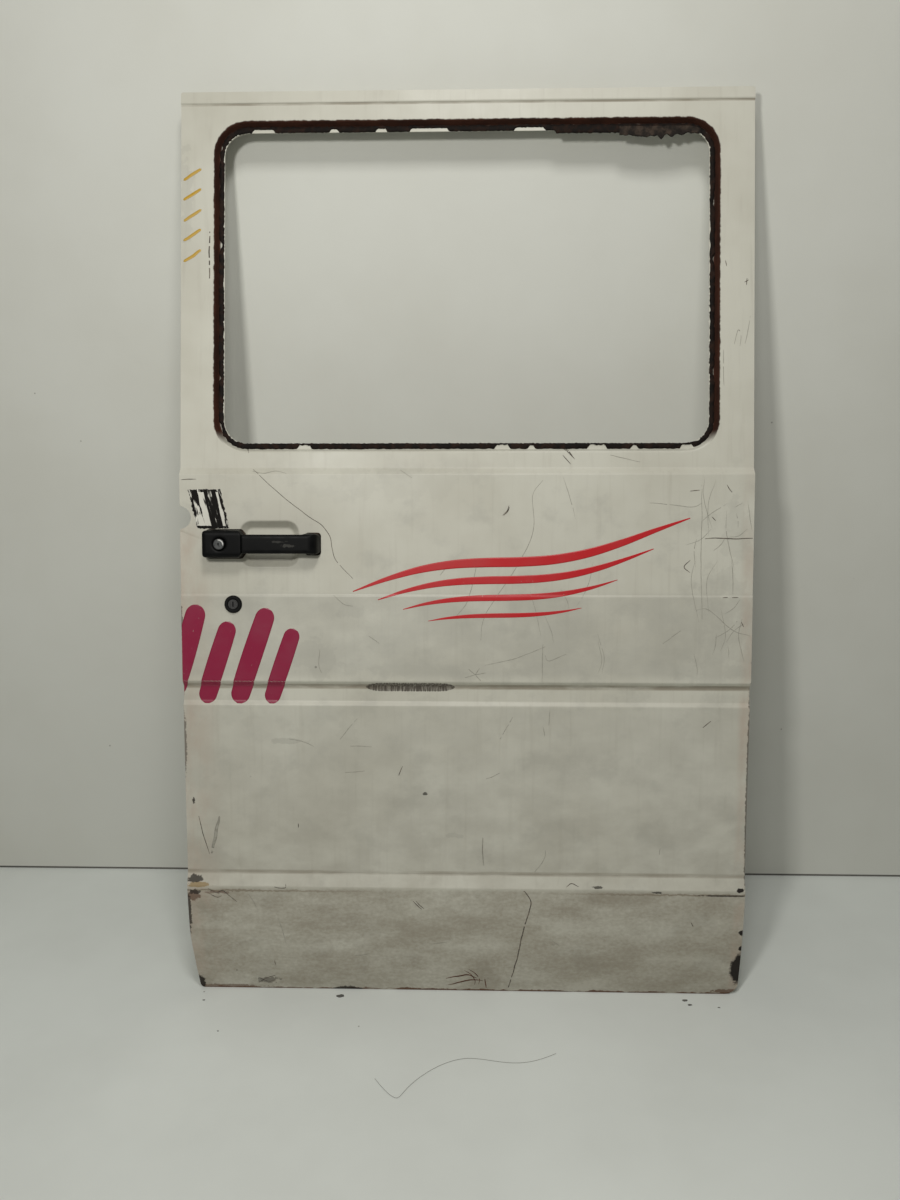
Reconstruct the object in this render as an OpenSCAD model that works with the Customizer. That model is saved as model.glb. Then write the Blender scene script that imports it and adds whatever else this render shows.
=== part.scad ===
// Sliding side door of a van: a bare pressed-steel door without glass, roller
// arms or trim, seen from outside with its grip at the front (left) edge.
// Millimetres. +X runs to the rear edge, +Y into the vehicle, +Z up. The origin
// lies on the flat face that the lower roller arm bolts to.

/* [Door] */
// Width over the side edges
door_w = 1000; // [940:5:1060]
// Height from the bottom edge to the top edge
door_h = 1615; // [1595:5:1680]
// Thickness of the pressed sheets
sheet_t = 1; // [0.8:0.1:1.3]
// Width of the folded hem round the edge
hem_w = 12; // [10:0.5:14]
// Radius of the front bottom corner
bottom_r = 8; // [4:1:14]
// Radius of the rear bottom corner
rear_bottom_r = 22; // [8:1:26]
// Radius of the top corners
top_r = 4; // [2:1:8]
// How far the front bottom corner is cut back
heel_cut = 10; // [0:0.5:14]
// Height over which the front bottom corner is cut back
heel_h = 110; // [80:5:150]

/* [Outer skin section] */
// How far the waist stands out from the bottom edge
waist_out = 53; // [45:1:60]
// Height of the sill strip over the bottom edge
sill_z = 221; // [200:1:240]
// How far the sill strip steps out
sill_step = 7; // [4:0.5:10]
// Height of the sloping face of the sill strip
sill_strip_h = 24; // [18:1:30]
// How far the valance bows out between sill and bottom edge
valance_bow = 6; // [2:0.5:10]
// Height of the lower panel from the sill strip up to the ridge
lower_h = 322; // [310:1:340]
// How far the lower panel falls back down to the sill
lower_fall = 10; // [4:1:14]
// How far the ridge steps out from the recessed band
ridge_step = 4; // [2:0.5:6]
// Height of the recessed band from the ridge up to the shoulder
band_h = 35; // [30:1:42]
// How far the shoulder steps out over the recessed band
shoulder_step = 9; // [6:0.5:11]
// Height of the waist from the shoulder up to the fine crease
low_waist_h = 157; // [148:1:170]
// How far the fine crease steps out
crease_step = 1.5; // [1:0.25:3]
// Height of the waist from the fine crease up to the belt line
high_waist_h = 217; // [210:1:225]
// How far the belt line steps in above
belt_step = 9; // [6:0.5:12]
// How far the top of the window plane stands out
top_out = 1.5; // [0:0.5:6]
// Height of the strip along the top edge
strip_h = 20; // [14:1:24]
// How far the top strip stands out from the window plane
strip_step = 2.5; // [1.5:0.5:4]
// Radius of the pressed creases
crease_r = 5; // [4:0.5:6]

/* [Window] */
// Width of the pillar between a side edge and the pressed recess
pillar_w = 56.5; // [50:0.5:90]
// Height of the rail between the recess and the top strip
head_h = 27; // [25:1:60]
// Corner radius of the recess
window_r = 60; // [45:1:80]
// Height of the recess's bottom edge above the belt line
window_gap = 31; // [24:1:36]
// Sideways place of the window's middle
window_x = -0.5; // [-6:0.5:6]
// Depth of the recess
recess_d = 10; // [7:0.5:12]
// Distance from the recess's outer edge to the opening
lip_w = 19; // [17:0.5:22]
// Thickness of the old sealant left on the lip
sealant_t = 2.5; // [1.5:0.5:4]

/* [Inner panel] */
// Distance of the inner face behind the bottom edge
inner_y = 6; // [2:1:12]
// Depth of the window frame behind the window plane
frame_d = 42; // [36:1:48]
// Distance of the joint of window frame and lower panel below the belt line
joint_drop = 27; // [22:1:37]
// Width of the lap at that joint
lap_w = 15; // [12:1:18]
// Width of a flange that the sheets are spot-welded on
weld_w = 16; // [12:1:20]
// Width of the web between two access holes
access_web = 84; // [70:2:110]
// Height of an access hole
access_h = 190; // [140:5:230]
// Corner radius of an access hole
access_r = 24; // [15:1:35]
// Number of access holes side by side
access_n = 4; // [3:1:4]
// Depth of the lip turned in round an access hole
access_lip = 5; // [3:0.5:8]
// Width of the service hole behind the handle
service_w = 96; // [80:2:104]
// Height of the service hole behind the handle
service_h = 60; // [50:2:64]
// Distance from a side edge to the end of the stiffening swage
swage_margin = 100; // [80:5:150]
// Height of the stiffening swage
swage_h = 44; // [36:1:50]
// Depth of the stiffening swage
swage_d = 6; // [4:0.5:8]
// Depth of the stiffening channels behind the skin
hat_d = 20; // [16:1:26]
// Height of the stiffening channels over their flanges
hat_h = 64; // [52:2:76]
// Distance of the lower channel's middle below the ridge
low_hat_drop = 73; // [66:1:100]
// Height of the belt beam over its flanges
beam_h = 50; // [40:2:54]
// Depth of the belt beam
beam_d = 26; // [20:1:30]
// Distance of the belt beam's middle below the joint
beam_drop = 45; // [41:1:47]

/* [Edge notch] */
// Radius of the half-round notch in the front edge
notch_r = 19.5; // [15:0.5:22]
// Distance of the notch's middle below the belt line
notch_drop = 81; // [78:1:84]
// Radius of the notch's rounded mouth
notch_mouth_r = 5; // [2:0.5:7]

/* [Handle] */
// Distance from the front edge to the handle's front end
handle_x = 44.4; // [40:0.2:48]
// Distance of the handle's middle below the belt line
handle_drop = 127; // [124:1:130]
// Length of the block that carries the button
block_w = 64; // [58:1:68]
// Height of the block
block_h = 49; // [44:1:54]
// Length of the whole handle
handle_w = 204; // [195:1:225]
// Height of the bar
bar_h = 33; // [28:1:36]
// Thickness of the bar
bar_t = 14; // [11:1:16]
// Height of the foot at the rear end
foot_h = 38; // [34:1:42]
// Length of the foot at its base
foot_w = 28; // [24:1:32]
// How far the handle stands out from the panel
handle_d = 30; // [27:1:36]
// Wall of the hollow block
block_wall = 4; // [3:0.5:5]
// Thickness of the gaskets under the handle
gasket_t = 2; // [1:0.5:3]
// Radius of the push button
button_r = 9.8; // [8:0.2:11]
// Distance from the block's front end to the button
button_x = 32; // [27:0.5:34]
// How far the button stands proud of the block
button_proud = 2; // [1:0.5:3]
// Travel of the push button
button_travel = 6; // [4:0.5:7]
// Radius of the button's stem
stem_r = 4; // [3:0.5:5]
// Length of the button's stem
stem_l = 34; // [28:1:38]

/* [Grip dish] */
// Width of the pressed dish behind the bar
dish_w = 110; // [100:1:116]
// Height of the dish
dish_h = 86; // [76:1:92]
// Corner radius of the dish
dish_r = 24; // [22:1:30]
// Depth of the dish
dish_d = 13; // [9:0.5:16]
// Distance from the handle's front end to the dish
dish_x = 58; // [56:0.2:62]

/* [Key lock] */
// Distance from the front edge to the lock
lock_x = 92.8; // [85:0.2:100]
// Distance of the lock below the fine crease
lock_drop = 16; // [15.5:0.5:23]
// Radius of the lock's bezel
bezel_r = 15.6; // [14:0.2:18]
// How far the bezel stands out
bezel_h = 4.5; // [3:0.5:6]
// Radius of the key barrel
barrel_r = 8.5; // [7:0.1:9]
// Length of the key barrel
barrel_l = 36; // [30:1:40]
// Length of the barrel's tail lever
tail_l = 34; // [26:1:38]

/* [Latch] */
// Distance of the latch's middle below the handle's middle
latch_drop = 35; // [30:1:40]
// Height of the latch case
latch_h = 74; // [64:2:80]
// Width of the latch case
latch_w = 30; // [26:1:32]
// Depth of the latch case
latch_d = 34; // [28:1:38]
// Thickness of the latch claw
claw_t = 8; // [6:1:10]
// Distance of the inner release's middle below the handle's middle
release_drop = 105; // [96:1:130]
// Distance from the front edge to the inner release
release_x = 190; // [180:2:200]
// Diameter of the release rod
rod_dia = 5; // [4:0.5:6]
// Thickness of the latch case's plates
case_t = 2; // [1.5:0.25:3]

/* [Mounting plates] */
// Thickness of the mounting plates
plate_t = 4; // [3:0.5:6]
// Radius of the holes for the roller bolts
bolt_r = 4.5; // [4.2:0.1:5.5]
// Width of the lower arm's plate
arm_plate_w = 150; // [130:2:170]
// Height of the lower arm's plate
arm_plate_h = 84; // [76:2:96]
// Distance from the front edge to the lower arm's plate middle
arm_plate_x = 150; // [120:2:180]
// Height of the lower arm plate's middle
arm_plate_z = 92; // [80:2:110]
// Width between the lower arm's bolts
arm_bolts_x = 110; // [90:2:116]
// Height between the lower arm's bolts
arm_bolts_z = 50; // [40:2:54]
// Width of the centre carriage's plate
centre_plate_w = 96; // [90:2:110]
// Height of the centre carriage's plate
centre_plate_h = 110; // [100:2:124]
// Distance from the rear edge to the centre plate's middle
centre_plate_x = 82; // [78:1:90]
// Distance of the centre plate's middle below the fine crease
centre_plate_drop = 45; // [30:1:60]
// Width between the centre carriage's bolts
centre_bolts_x = 56; // [44:2:60]
// Height between the centre carriage's bolts
centre_bolts_z = 70; // [56:2:76]
// Width of the upper roller's plate
upper_plate_w = 110; // [100:2:120]
// Height of the upper roller's plate
upper_plate_h = 22; // [20:0.5:24]
// Distance from the front edge to the upper plate's middle
upper_plate_x = 130; // [110:2:160]
// Width between the upper roller's bolts
upper_bolts_x = 80; // [64:2:84]

/* [Guides and plugs] */
// Height of a guide wedge on the rear edge
wedge_h = 60; // [50:2:70]
// Width of a guide wedge
wedge_w = 24; // [20:1:28]
// How far a guide wedge stands out
wedge_d = 10; // [6:0.5:10]
// Distance of the lower guide wedge's middle above the sill strip
wedge_rise = 111; // [60:5:180]
// Radius of a rubber plug
plug_r = 13; // [10:0.5:16]
// Distance of the row of rubber plugs above the sill strip's line
plug_rise = 6; // [-20:1:20]

/* [Hidden] */
$fn = 48;

paint = "#c9c8bc";
black_plastic = "#1b1b1a";
rubber = "#262422";
zinc = "#8f9294";
old_seal = "#2a211b";

// Points in a quarter round of the small and of the large corners
small_n = 4;
large_n = 8;
// How far a cutting shape runs past the sheet that it trims
over = 10;
// Radial gap round what turns or slides
gap = 0.4;
// How far the rim of a drawn form runs into the edge of the sheet round it
rim_seat = 1.2;
// Share of the sheet's thickness that a drawn rim is thinned by on either side
rim_thin = 0.2;

function unit(v) = v / norm(v);
function turned(u) = [u[1], -u[0]];
function arc(c, r, a0, a1, n) =
    [for (i = [0 : n]) c + r * [cos(a0 + (a1 - a0) * i / n), sin(a0 + (a1 - a0) * i / n)]];

// Round stretch of n steps between the lines a-b and b-c, no larger than they leave room for
function fillet(a, b, c, r, n) =
    let (
        u = unit(a - b),
        v = unit(c - b),
        half = acos(max(-1, min(1, u * v))) / 2,
        room = 0.48 * min(norm(a - b), norm(c - b)) * tan(half),
        round_r = min(r, room),
        centre = b + unit(u + v) * round_r / sin(half),
        from = b + u * round_r / tan(half) - centre,
        to = b + v * round_r / tan(half) - centre,
        a0 = atan2(from[1], from[0]),
        sweep = (atan2(to[1], to[0]) - a0 + 540) % 360 - 180
    )
    arc(centre, round_r, a0, a0 + sweep, n);

// Open path with every inner corner rounded
function round_path(p, r, n) = [
    p[0],
    for (i = [1 : len(p) - 2]) each fillet(p[i - 1], p[i], p[i + 1], r, n),
    p[len(p) - 1]
];

// Closed loop whose corners have their own radii
function round_loop(p, radii, n) = [
    for (i = [0 : len(p) - 1])
        each fillet(p[(i + len(p) - 1) % len(p)], p[i], p[(i + 1) % len(p)], radii[i], n)
];

function bisector(a, b, c) =
    let (n0 = turned(unit(b - a)), n1 = turned(unit(c - b)))
    (n0 + n1) / (1 + n0 * n1);

// Open path moved sideways, to the right of its run
function shift_path(p, d) = [
    for (i = [0 : len(p) - 1])
        p[i] + d * (
            i == 0 ? turned(unit(p[1] - p[0]))
            : i == len(p) - 1 ? turned(unit(p[i] - p[i - 1]))
            : bisector(p[i - 1], p[i], p[i + 1]))
];

// Closed loop moved inwards, for a loop that runs anticlockwise
function shift_loop(p, d) = [
    for (i = [0 : len(p) - 1])
        p[i] - d * bisector(p[(i + len(p) - 1) % len(p)], p[i], p[(i + 1) % len(p)])
];

function backwards(p) = [for (i = [len(p) - 1 : -1 : 0]) p[i]];
function band(p, a, b) = concat(shift_path(p, a), backwards(shift_path(p, b)));

function round_rect(w, h, r, n) = concat(
    arc([w / 2 - r, h / 2 - r], r, 0, 90, n),
    arc([r - w / 2, h / 2 - r], r, 90, 180, n),
    arc([r - w / 2, r - h / 2], r, 180, 270, n),
    arc([w / 2 - r, r - h / 2], r, 270, 360, n)
);

// Places worked out from the driving sizes
belt_rise = 11;
step_rise = 9;
ridge_rise = 7;
crease_rise = 3;
strip_rise = 2.5;
ridge_z = sill_z + lower_h;
shoulder_z = ridge_z + band_h;
crease_z = shoulder_z + low_waist_h;
belt_z = crease_z + high_waist_h;
glass_low = [belt_step - waist_out, belt_z + belt_rise / 2];
glass_top = [-top_out, door_h - strip_h - strip_rise / 2];
lean = atan((glass_top[0] - glass_low[0]) / (glass_top[1] - glass_low[1]));
panel_y = -waist_out;
under_y = panel_y - crease_step;
band_y = under_y + shoulder_step;
ridge_y = band_y - ridge_step;
sill_y = ridge_y + lower_fall;
window_w = door_w - 2 * pillar_w;
window_low = window_gap - belt_rise / 2;
window_h = norm(glass_top - glass_low) - window_low - head_h;
window_zc = window_low + window_h / 2;
front_x = -door_w / 2;
rear_x = door_w / 2;
tray_in = hem_w;

function glass_y(z) = glass_low[0] + (z - glass_low[1]) * tan(lean);

// Bowed line of the valance, from the bottom edge up to the sill strip
valance_top = [sill_y - sill_step, sill_z - sill_strip_h / 2];
valance_n = 6;
valance = [
    for (i = [0 : valance_n])
        let (f = i / valance_n)
        [valance_top[0] * f - 4 * valance_bow * f * (1 - f), valance_top[1] * f]
];

// Outer face of the skin from below the bottom edge to above the top edge, as [y, z]
skin_path = concat(
    [valance[0] - over * unit(valance[1] - valance[0])],
    [for (i = [0 : valance_n - 2]) valance[i]],
    round_path([
        valance[valance_n - 1],
        valance_top,
        [sill_y, sill_z + sill_strip_h / 2],
        [ridge_y, ridge_z - ridge_rise / 2],
        [band_y, ridge_z + ridge_rise / 2],
        [band_y, shoulder_z - step_rise / 2],
        [under_y, shoulder_z + step_rise / 2],
        [under_y, crease_z - crease_rise / 2],
        [panel_y, crease_z + crease_rise / 2],
        [panel_y, belt_z - belt_rise / 2],
        glass_low,
        glass_top,
        [glass_top[0] - strip_step, glass_top[1] + strip_rise],
        [glass_top[0] - strip_step + (strip_h + over) * tan(lean), door_h + over]
    ], crease_r, small_n)
);

// Face of the inner panel on the vehicle's side, as [y, z]
joint_z = belt_z - joint_drop;
frame_foot_z = joint_z + 8;
frame_rise = 20;
function frame_y(z) = glass_y(z) + frame_d / cos(lean);
inner_path = round_path([
    [inner_y, -over],
    [inner_y, frame_foot_z],
    [frame_y(frame_foot_z + frame_rise), frame_foot_z + frame_rise],
    [frame_y(door_h + over), door_h + over]
], crease_r, small_n);

// Space between the skin and the plane d in front of the inner panel's face
function cavity_path(d) = concat(shift_path(skin_path, sheet_t), backwards(shift_path(inner_path, -d)));

// Front view of the door's edge moved in by d, as [x, z]
tray_r = 16;
heel_r = 400;
edge_corners = [
    [front_x + heel_cut, 0],
    [rear_x, 0],
    [rear_x, door_h],
    [front_x, door_h],
    [front_x, heel_h]
];
function edge_r(r, d) = d < tray_in - 2 ? max(r - d, 0.5) : tray_r + tray_in - d;
function edge(d) = round_loop(
    shift_loop(edge_corners, d),
    [edge_r(bottom_r, d), edge_r(rear_bottom_r, d), edge_r(top_r, d), edge_r(top_r, d), heel_r],
    small_n
);

back_y = 80;
face_y = panel_y - 2 * over;

module along_x(from, to) translate([from, 0, 0]) rotate([90, 0, 90]) linear_extrude(to - from) children();
module along_y(from, to) translate([0, to, 0]) rotate([90, 0, 0]) linear_extrude(to - from) children();
module along_z(from, to) translate([0, 0, from]) linear_extrude(to - from) children();
module drill(x, z, r, from, to) translate([x, to, z]) rotate([90, 0, 0]) cylinder(r = r, h = to - from);
module disc(x, z, r, from, to) drill(x, z, r, from, to);
module tube(x, z, r_out, r_in, from, to) {
    difference() {
        disc(x, z, r_out, from, to);
        drill(x, z, r_in, from - 1, to + 1);
    }
}

// Everything is built with its heights from the bottom edge, then set on the arm's face
module set_on_mount() {
    translate([-(front_x + arm_plate_x), -(inner_y + plate_t), -arm_plate_z]) children();
}

// Local frame of the window: x from its middle, y into the door, z up the leaning plane
module on_glass() {
    translate([window_x, glass_low[0], glass_low[1]])
        rotate([-lean, 0, 0])
        translate([0, 0, window_zc])
        children();
}

module skin_layer(a, b) along_x(front_x - 1, rear_x + 1) polygon(band(skin_path, a, b));
module inner_layer(a, b) along_x(front_x - 1, rear_x + 1) polygon(band(inner_path, a, b));
module inside(d) along_y(face_y, back_y) polygon(edge(d));
module border(d0, d1) {
    along_y(face_y, back_y) difference() {
        polygon(edge(d0));
        polygon(edge(d1));
    }
}
module heights(z0, z1) along_z(z0, z1) translate([front_x - 2, face_y]) square([door_w + 4, back_y - face_y]);

// Closed strip of constant section run round a rounded rectangle. The section's
// points are [distance in from the rectangle, depth], in clockwise order.
module run_round(section, w, h, r, n) {
    loops = [for (q = section) [
        for (p = round_rect(w - 2 * q[0], h - 2 * q[0], r - q[0], n)) [p[0], q[1], p[1]]
    ]];
    count = len(loops[0]);
    rows = len(section);
    polyhedron(
        points = [for (l = loops) each l],
        faces = [
            for (j = [0 : rows - 1])
                for (k = [0 : count - 1])
                    let (m = (j + 1) % rows, q = (k + 1) % count)
                    [j * count + k, j * count + q, m * count + q, m * count + k]
        ]
    );
}

// Section of a form drawn out of a sheet, whose last two corners lie in the sheet
function drawn_section(corners, r, n) =
    let (
        rim = len(corners) - 2,
        thin = [0, rim_thin * sheet_t],
        back = shift_path(corners, sheet_t),
        face_line = [for (i = [0 : rim + 1]) corners[i] + (i < rim ? [0, 0] : thin)],
        back_line = [for (i = [0 : rim + 1]) back[i] - (i < rim ? [0, 0] : thin)]
    )
    concat(round_path(face_line, r, n), backwards(round_path(back_line, r, n)));

// Shell of a pressed dish: the section runs from the floor's face to the rim and back
module pressed_dish(section, w, h, r, n) {
    loops = [for (q = section) [
        for (p = round_rect(w - 2 * q[0], h - 2 * q[0], r - q[0], n)) [p[0], q[1], p[1]]
    ]];
    count = len(loops[0]);
    rows = len(section);
    polyhedron(
        points = [for (l = loops) each l],
        faces = concat(
            [[for (k = [count - 1 : -1 : 0]) k]],
            [[for (k = [0 : count - 1]) (rows - 1) * count + k]],
            [
                for (j = [0 : rows - 2])
                    for (k = [0 : count - 1])
                        let (q = (k + 1) % count)
                        [j * count + k, j * count + q, (j + 1) * count + q, (j + 1) * count + k]
            ]
        )
    );
}

// Pressed sheets
lip_foot = 9;
lip_section = drawn_section([[lip_w, recess_d], [lip_foot, recess_d], [4, 0], [0, 0]], 3, 3);
dish_section = drawn_section([[20, dish_d], [14, dish_d], [3, 0], [0, 0]], 5, 3);
dish_mid_x = front_x + handle_x + dish_x + dish_w / 2;
button_cx = front_x + handle_x + button_x;
handle_z = belt_z - handle_drop;
lock_cx = front_x + lock_x;
lock_z = crease_z - lock_drop;
stem_hole_r = 2.5 * stem_r;
sleeve_r = barrel_r + 2.3;

// Hole that a drawn form's rim sits in, a little rounder than the rim
function rim_hole(w, h, r) =
    round_rect(w - 2 * rim_seat, h - 2 * rim_seat, r - rim_seat / 4, large_n);

module window_cut(grow, from, to) {
    on_glass() along_y(from, to)
        polygon(rim_hole(window_w + 2 * grow, window_h + 2 * grow, window_r + grow));
}

// Half-round notch whose mouth is rounded on the skin's edge
notch_z = belt_z - notch_drop;
mouth_z = sqrt((notch_r + notch_mouth_r) ^ 2 - notch_mouth_r ^ 2);
mouth_a = atan2(mouth_z, notch_mouth_r);
module notch_cut() {
    drill(front_x, notch_z, notch_r, face_y, back_y);
    translate([front_x, 0, notch_z]) along_y(face_y, back_y) polygon(concat(
        [[-over, -mouth_z], [0, -mouth_z]],
        arc([notch_mouth_r, -mouth_z], notch_mouth_r, 180, mouth_a, 2 * small_n),
        arc([notch_mouth_r, mouth_z], notch_mouth_r, 360 - mouth_a, 180, 2 * small_n),
        [[-over, mouth_z]]
    ));
}

// Skin with its hem folded back round the edge, between two heights
module hemmed_skin(z0, z1) {
    intersection() {
        union() {
            intersection() {
                skin_layer(0, sheet_t);
                inside(0);
            }
            intersection() {
                skin_layer(0, 3 * sheet_t);
                border(0, sheet_t);
            }
            intersection() {
                skin_layer(2 * sheet_t, 3 * sheet_t);
                border(sheet_t / 2, tray_in - 1);
            }
        }
        heights(z0, z1);
    }
}

// The pressing round the window is joined to the lower skin just above the belt line
skin_joint_z = belt_z + belt_rise + crease_r;

module window_surround() set_on_mount() color(paint) {
    difference() {
        hemmed_skin(skin_joint_z, door_h + over);
        window_cut(0, -over, over);
    }
    on_glass() run_round(lip_section, window_w, window_h, window_r, large_n);
}

module outer_skin() set_on_mount() color(paint) {
    difference() {
        hemmed_skin(-over, skin_joint_z);
        translate([dish_mid_x, panel_y, handle_z]) along_y(-over, over)
            polygon(rim_hole(dish_w, dish_h, dish_r));
        notch_cut();
        drill(button_cx, handle_z, stem_hole_r, panel_y - 1, panel_y + over);
        drill(lock_cx, lock_z, sleeve_r, under_y - 1, panel_y + over);
    }
    translate([dish_mid_x, panel_y, handle_z])
        pressed_dish(dish_section, dish_w, dish_h, dish_r, large_n);
}

module cavity(d) along_x(front_x - 1, rear_x + 1) polygon(cavity_path(d));

// Flange under the hem and side wall of the pressed edge, down to the plane d in front of the face
module edge_walls(d) {
    intersection() {
        skin_layer(sheet_t, 2 * sheet_t);
        border(sheet_t, tray_in + sheet_t);
    }
    intersection() {
        cavity(d);
        border(tray_in, tray_in + sheet_t);
    }
}

module inner_face() {
    intersection() {
        inner_layer(-sheet_t, 0);
        inside(tray_in);
    }
}

service_r = 18;
service_x = front_x + handle_x + 0.6 * handle_w;
service_z = handle_z - 20;
plug_places = [-0.3 * door_w, 0, 0.3 * door_w];
plug_z = sill_z + plug_rise;
plug_flange_w = 3;
plug_flange_t = 2;
plug_hole_r = plug_r - plug_flange_w;
swage_w = door_w - 2 * swage_margin;
swage_z = (ridge_z + shoulder_z) / 2;
access_end = 20;
access_pitch = (door_w - 2 * tray_in - 2 * access_end) / access_n;
access_w = access_pitch - access_web;
access_z = (sill_z + sill_strip_h / 2 + ridge_z) / 2;
function access_x(i) = (i - (access_n - 1) / 2) * access_pitch;

module bolt_holes(x, z, dx, dz, r, from, to) {
    for (sx = [-1, 1])
        for (sz = dz > 0 ? [-1, 1] : [0])
            drill(x + sx * dx / 2, z + sz * dz / 2, r, from, to);
}

// Round-cornered opening through the inner face, grown by g
module face_hole(x, z, w, h, r, g, from, to) {
    translate([x, 0, z]) along_y(from, to)
        polygon(round_rect(w + 2 * g, h + 2 * g, r + g, small_n));
}

module access_holes(g, from, to) {
    for (i = [0 : access_n - 1])
        face_hole(access_x(i), access_z, access_w, access_h, access_r, g, from, to);
    face_hole(service_x, service_z, service_w, service_h, service_r, g, from, to);
}

drain_w = 34;
drain_h = 7;
drain_z = tray_in + weld_w + 8;
inner_back = inner_y + over;
inner_front = inner_y - over;
swage_section = drawn_section([
    [swage_d + 6, inner_y - swage_d - sheet_t],
    [swage_d + 3, inner_y - swage_d - sheet_t],
    [3, inner_y - sheet_t],
    [0, inner_y - sheet_t]
], 3, 2);

// Pressed channel round the lower edges, with a flange that the inner panel is welded on
channel_corner = 60;
module edge_channel(x0, x1) {
    intersection() {
        union() {
            edge_walls(sheet_t);
            intersection() {
                inner_layer(-2 * sheet_t, -sheet_t);
                border(tray_in, tray_in + weld_w);
            }
        }
        heights(-over, joint_z);
        translate([x0, face_y, -over]) cube([x1 - x0, back_y - face_y, door_h]);
    }
}

module front_channel() set_on_mount() color(paint) {
    difference() {
        edge_channel(front_x - 1, front_x + channel_corner);
        notch_cut();
        latch_mouth();
    }
    intersection() {
        tube(front_x, notch_z, notch_r + sheet_t, notch_r, face_y, back_y);
        along_x(front_x + tray_in, front_x + tray_in + notch_r) polygon(cavity_path(sheet_t));
    }
}

module bottom_channel() set_on_mount() color(paint) {
    edge_channel(front_x + channel_corner, rear_x - channel_corner);
}

module rear_channel() set_on_mount() color(paint) {
    edge_channel(rear_x - channel_corner, rear_x + 1);
}

module inner_lower_panel() set_on_mount() color(paint) {
    difference() {
        union() {
            intersection() {
                inner_face();
                heights(-over, joint_z);
            }
            access_holes(sheet_t, inner_y - sheet_t - access_lip, inner_y - sheet_t / 2);
        }
        access_holes(0, inner_front, inner_back);
        translate([0, 0, swage_z]) along_y(inner_front, inner_back)
            polygon(rim_hole(swage_w, swage_h, swage_h / 2 - 2));
        notch_cut();
        for (x = plug_places)
            drill(x, plug_z, plug_hole_r, inner_front, inner_back);
        for (x = plug_places)
            translate([x, 0, drain_z]) along_y(inner_front, inner_back)
                polygon(round_rect(drain_w, drain_h, drain_h / 2 - 0.2, small_n));
        arm_bolts(bolt_r + 1.5, inner_front, inner_back);
        centre_bolts(bolt_r + 1.5, inner_front, inner_back);
        drill(release_pivot_x, release_z, release_pin_r + 2, inner_front, inner_back);
    }
    translate([0, 0, swage_z])
        pressed_dish(swage_section, swage_w, swage_h, swage_h / 2 - 2, small_n);
}

reveal_rim = 4;
reveal_section = drawn_section([
    [lip_w, recess_d + sheet_t],
    [9, recess_d + sheet_t],
    [5, frame_d - sheet_t],
    [-reveal_rim, frame_d - sheet_t]
], 3, 3);

module inner_window_frame() set_on_mount() color(paint) {
    difference() {
        union() {
            intersection() {
                union() {
                    edge_walls(sheet_t / 2);
                    inner_face();
                }
                heights(joint_z, door_h + over);
            }
            intersection() {
                inner_layer(0, sheet_t);
                inside(tray_in);
                heights(joint_z - lap_w, joint_z + 3);
            }
        }
        window_cut(reveal_rim, frame_d - 3, frame_d + over);
        upper_bolts(bolt_r + 1.5, -over, back_y);
    }
    on_glass() run_round(reveal_section, window_w, window_h, window_r, large_n);
}

// Stiffening channels
// Line of a channel that stands on the line a-b, between the heights z0 and z1
hat_flange = 14;
hat_slope = 5;
mid_hat_z = (shoulder_z + crease_z) / 2;
low_hat_z = ridge_z - low_hat_drop;
beam_z = joint_z - beam_drop;
function hat_line(a, b, z0, z1, d) =
    let (on = function(z, dy) [a[0] + (b[0] - a[0]) * (z - a[1]) / (b[1] - a[1]) + dy, z])
    round_path([
        on(z0 - hat_flange, 0),
        on(z0, 0),
        on(z0 + hat_slope, d),
        on(z1 - hat_slope, d),
        on(z1, 0),
        on(z1 + hat_flange, 0)
    ], 3, 2);

stiffener_x = door_w / 2 - tray_in - weld_w - 2;
module channel(line, t) along_x(-stiffener_x, stiffener_x) polygon(band(line, 0, t));

module mid_stiffener() set_on_mount() color(paint) {
    channel(hat_line(
        [under_y + sheet_t, 0], [under_y + sheet_t, 1],
        mid_hat_z - hat_h / 2, mid_hat_z + hat_h / 2, hat_d
    ), sheet_t);
}

lower_slope = atan((ridge_y - sill_y) / (ridge_z - ridge_rise / 2 - sill_z - sill_strip_h / 2));
module lower_stiffener() set_on_mount() color(paint) {
    channel(hat_line(
        [sill_y + sheet_t / cos(lower_slope), sill_z + sill_strip_h / 2],
        [ridge_y + sheet_t / cos(lower_slope), ridge_z - ridge_rise / 2],
        low_hat_z - hat_h / 2, low_hat_z + hat_h / 2, hat_d
    ), sheet_t);
}

module belt_beam() set_on_mount() color(paint) {
    channel(hat_line(
        [inner_y - sheet_t, 0], [inner_y - sheet_t, 1],
        beam_z - beam_h / 2, beam_z + beam_h / 2, -beam_d
    ), -sheet_t);
}

// Old sealant and rubber left round the window
module window_sealant() set_on_mount() color(old_seal) {
    on_glass() run_round(
        [
            [lip_foot + 2.5, recess_d],
            [lip_w + 1, recess_d],
            [lip_w + 1, recess_d - sealant_t],
            [lip_foot + 2.5, recess_d - 0.8 * sealant_t]
        ],
        window_w, window_h, window_r, large_n
    );
}

scrap_l = 118;
scrap_h = 20;
module rubber_scrap() set_on_mount() color(rubber) {
    on_glass() translate([0, 0, window_h / 2 - lip_w]) along_y(recess_d - 4, recess_d)
        polygon(round_loop([
            [window_w / 2 - lip_w - 44 - scrap_l, -1],
            [window_w / 2 - lip_w - 44 - scrap_l + 20, -0.4 * scrap_h],
            [window_w / 2 - lip_w - 70, -scrap_h],
            [window_w / 2 - lip_w - 44, -0.7 * scrap_h],
            [window_w / 2 - lip_w - 44, -1]
        ], [3, 6, 8, 4, 1], 2));
}

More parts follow.
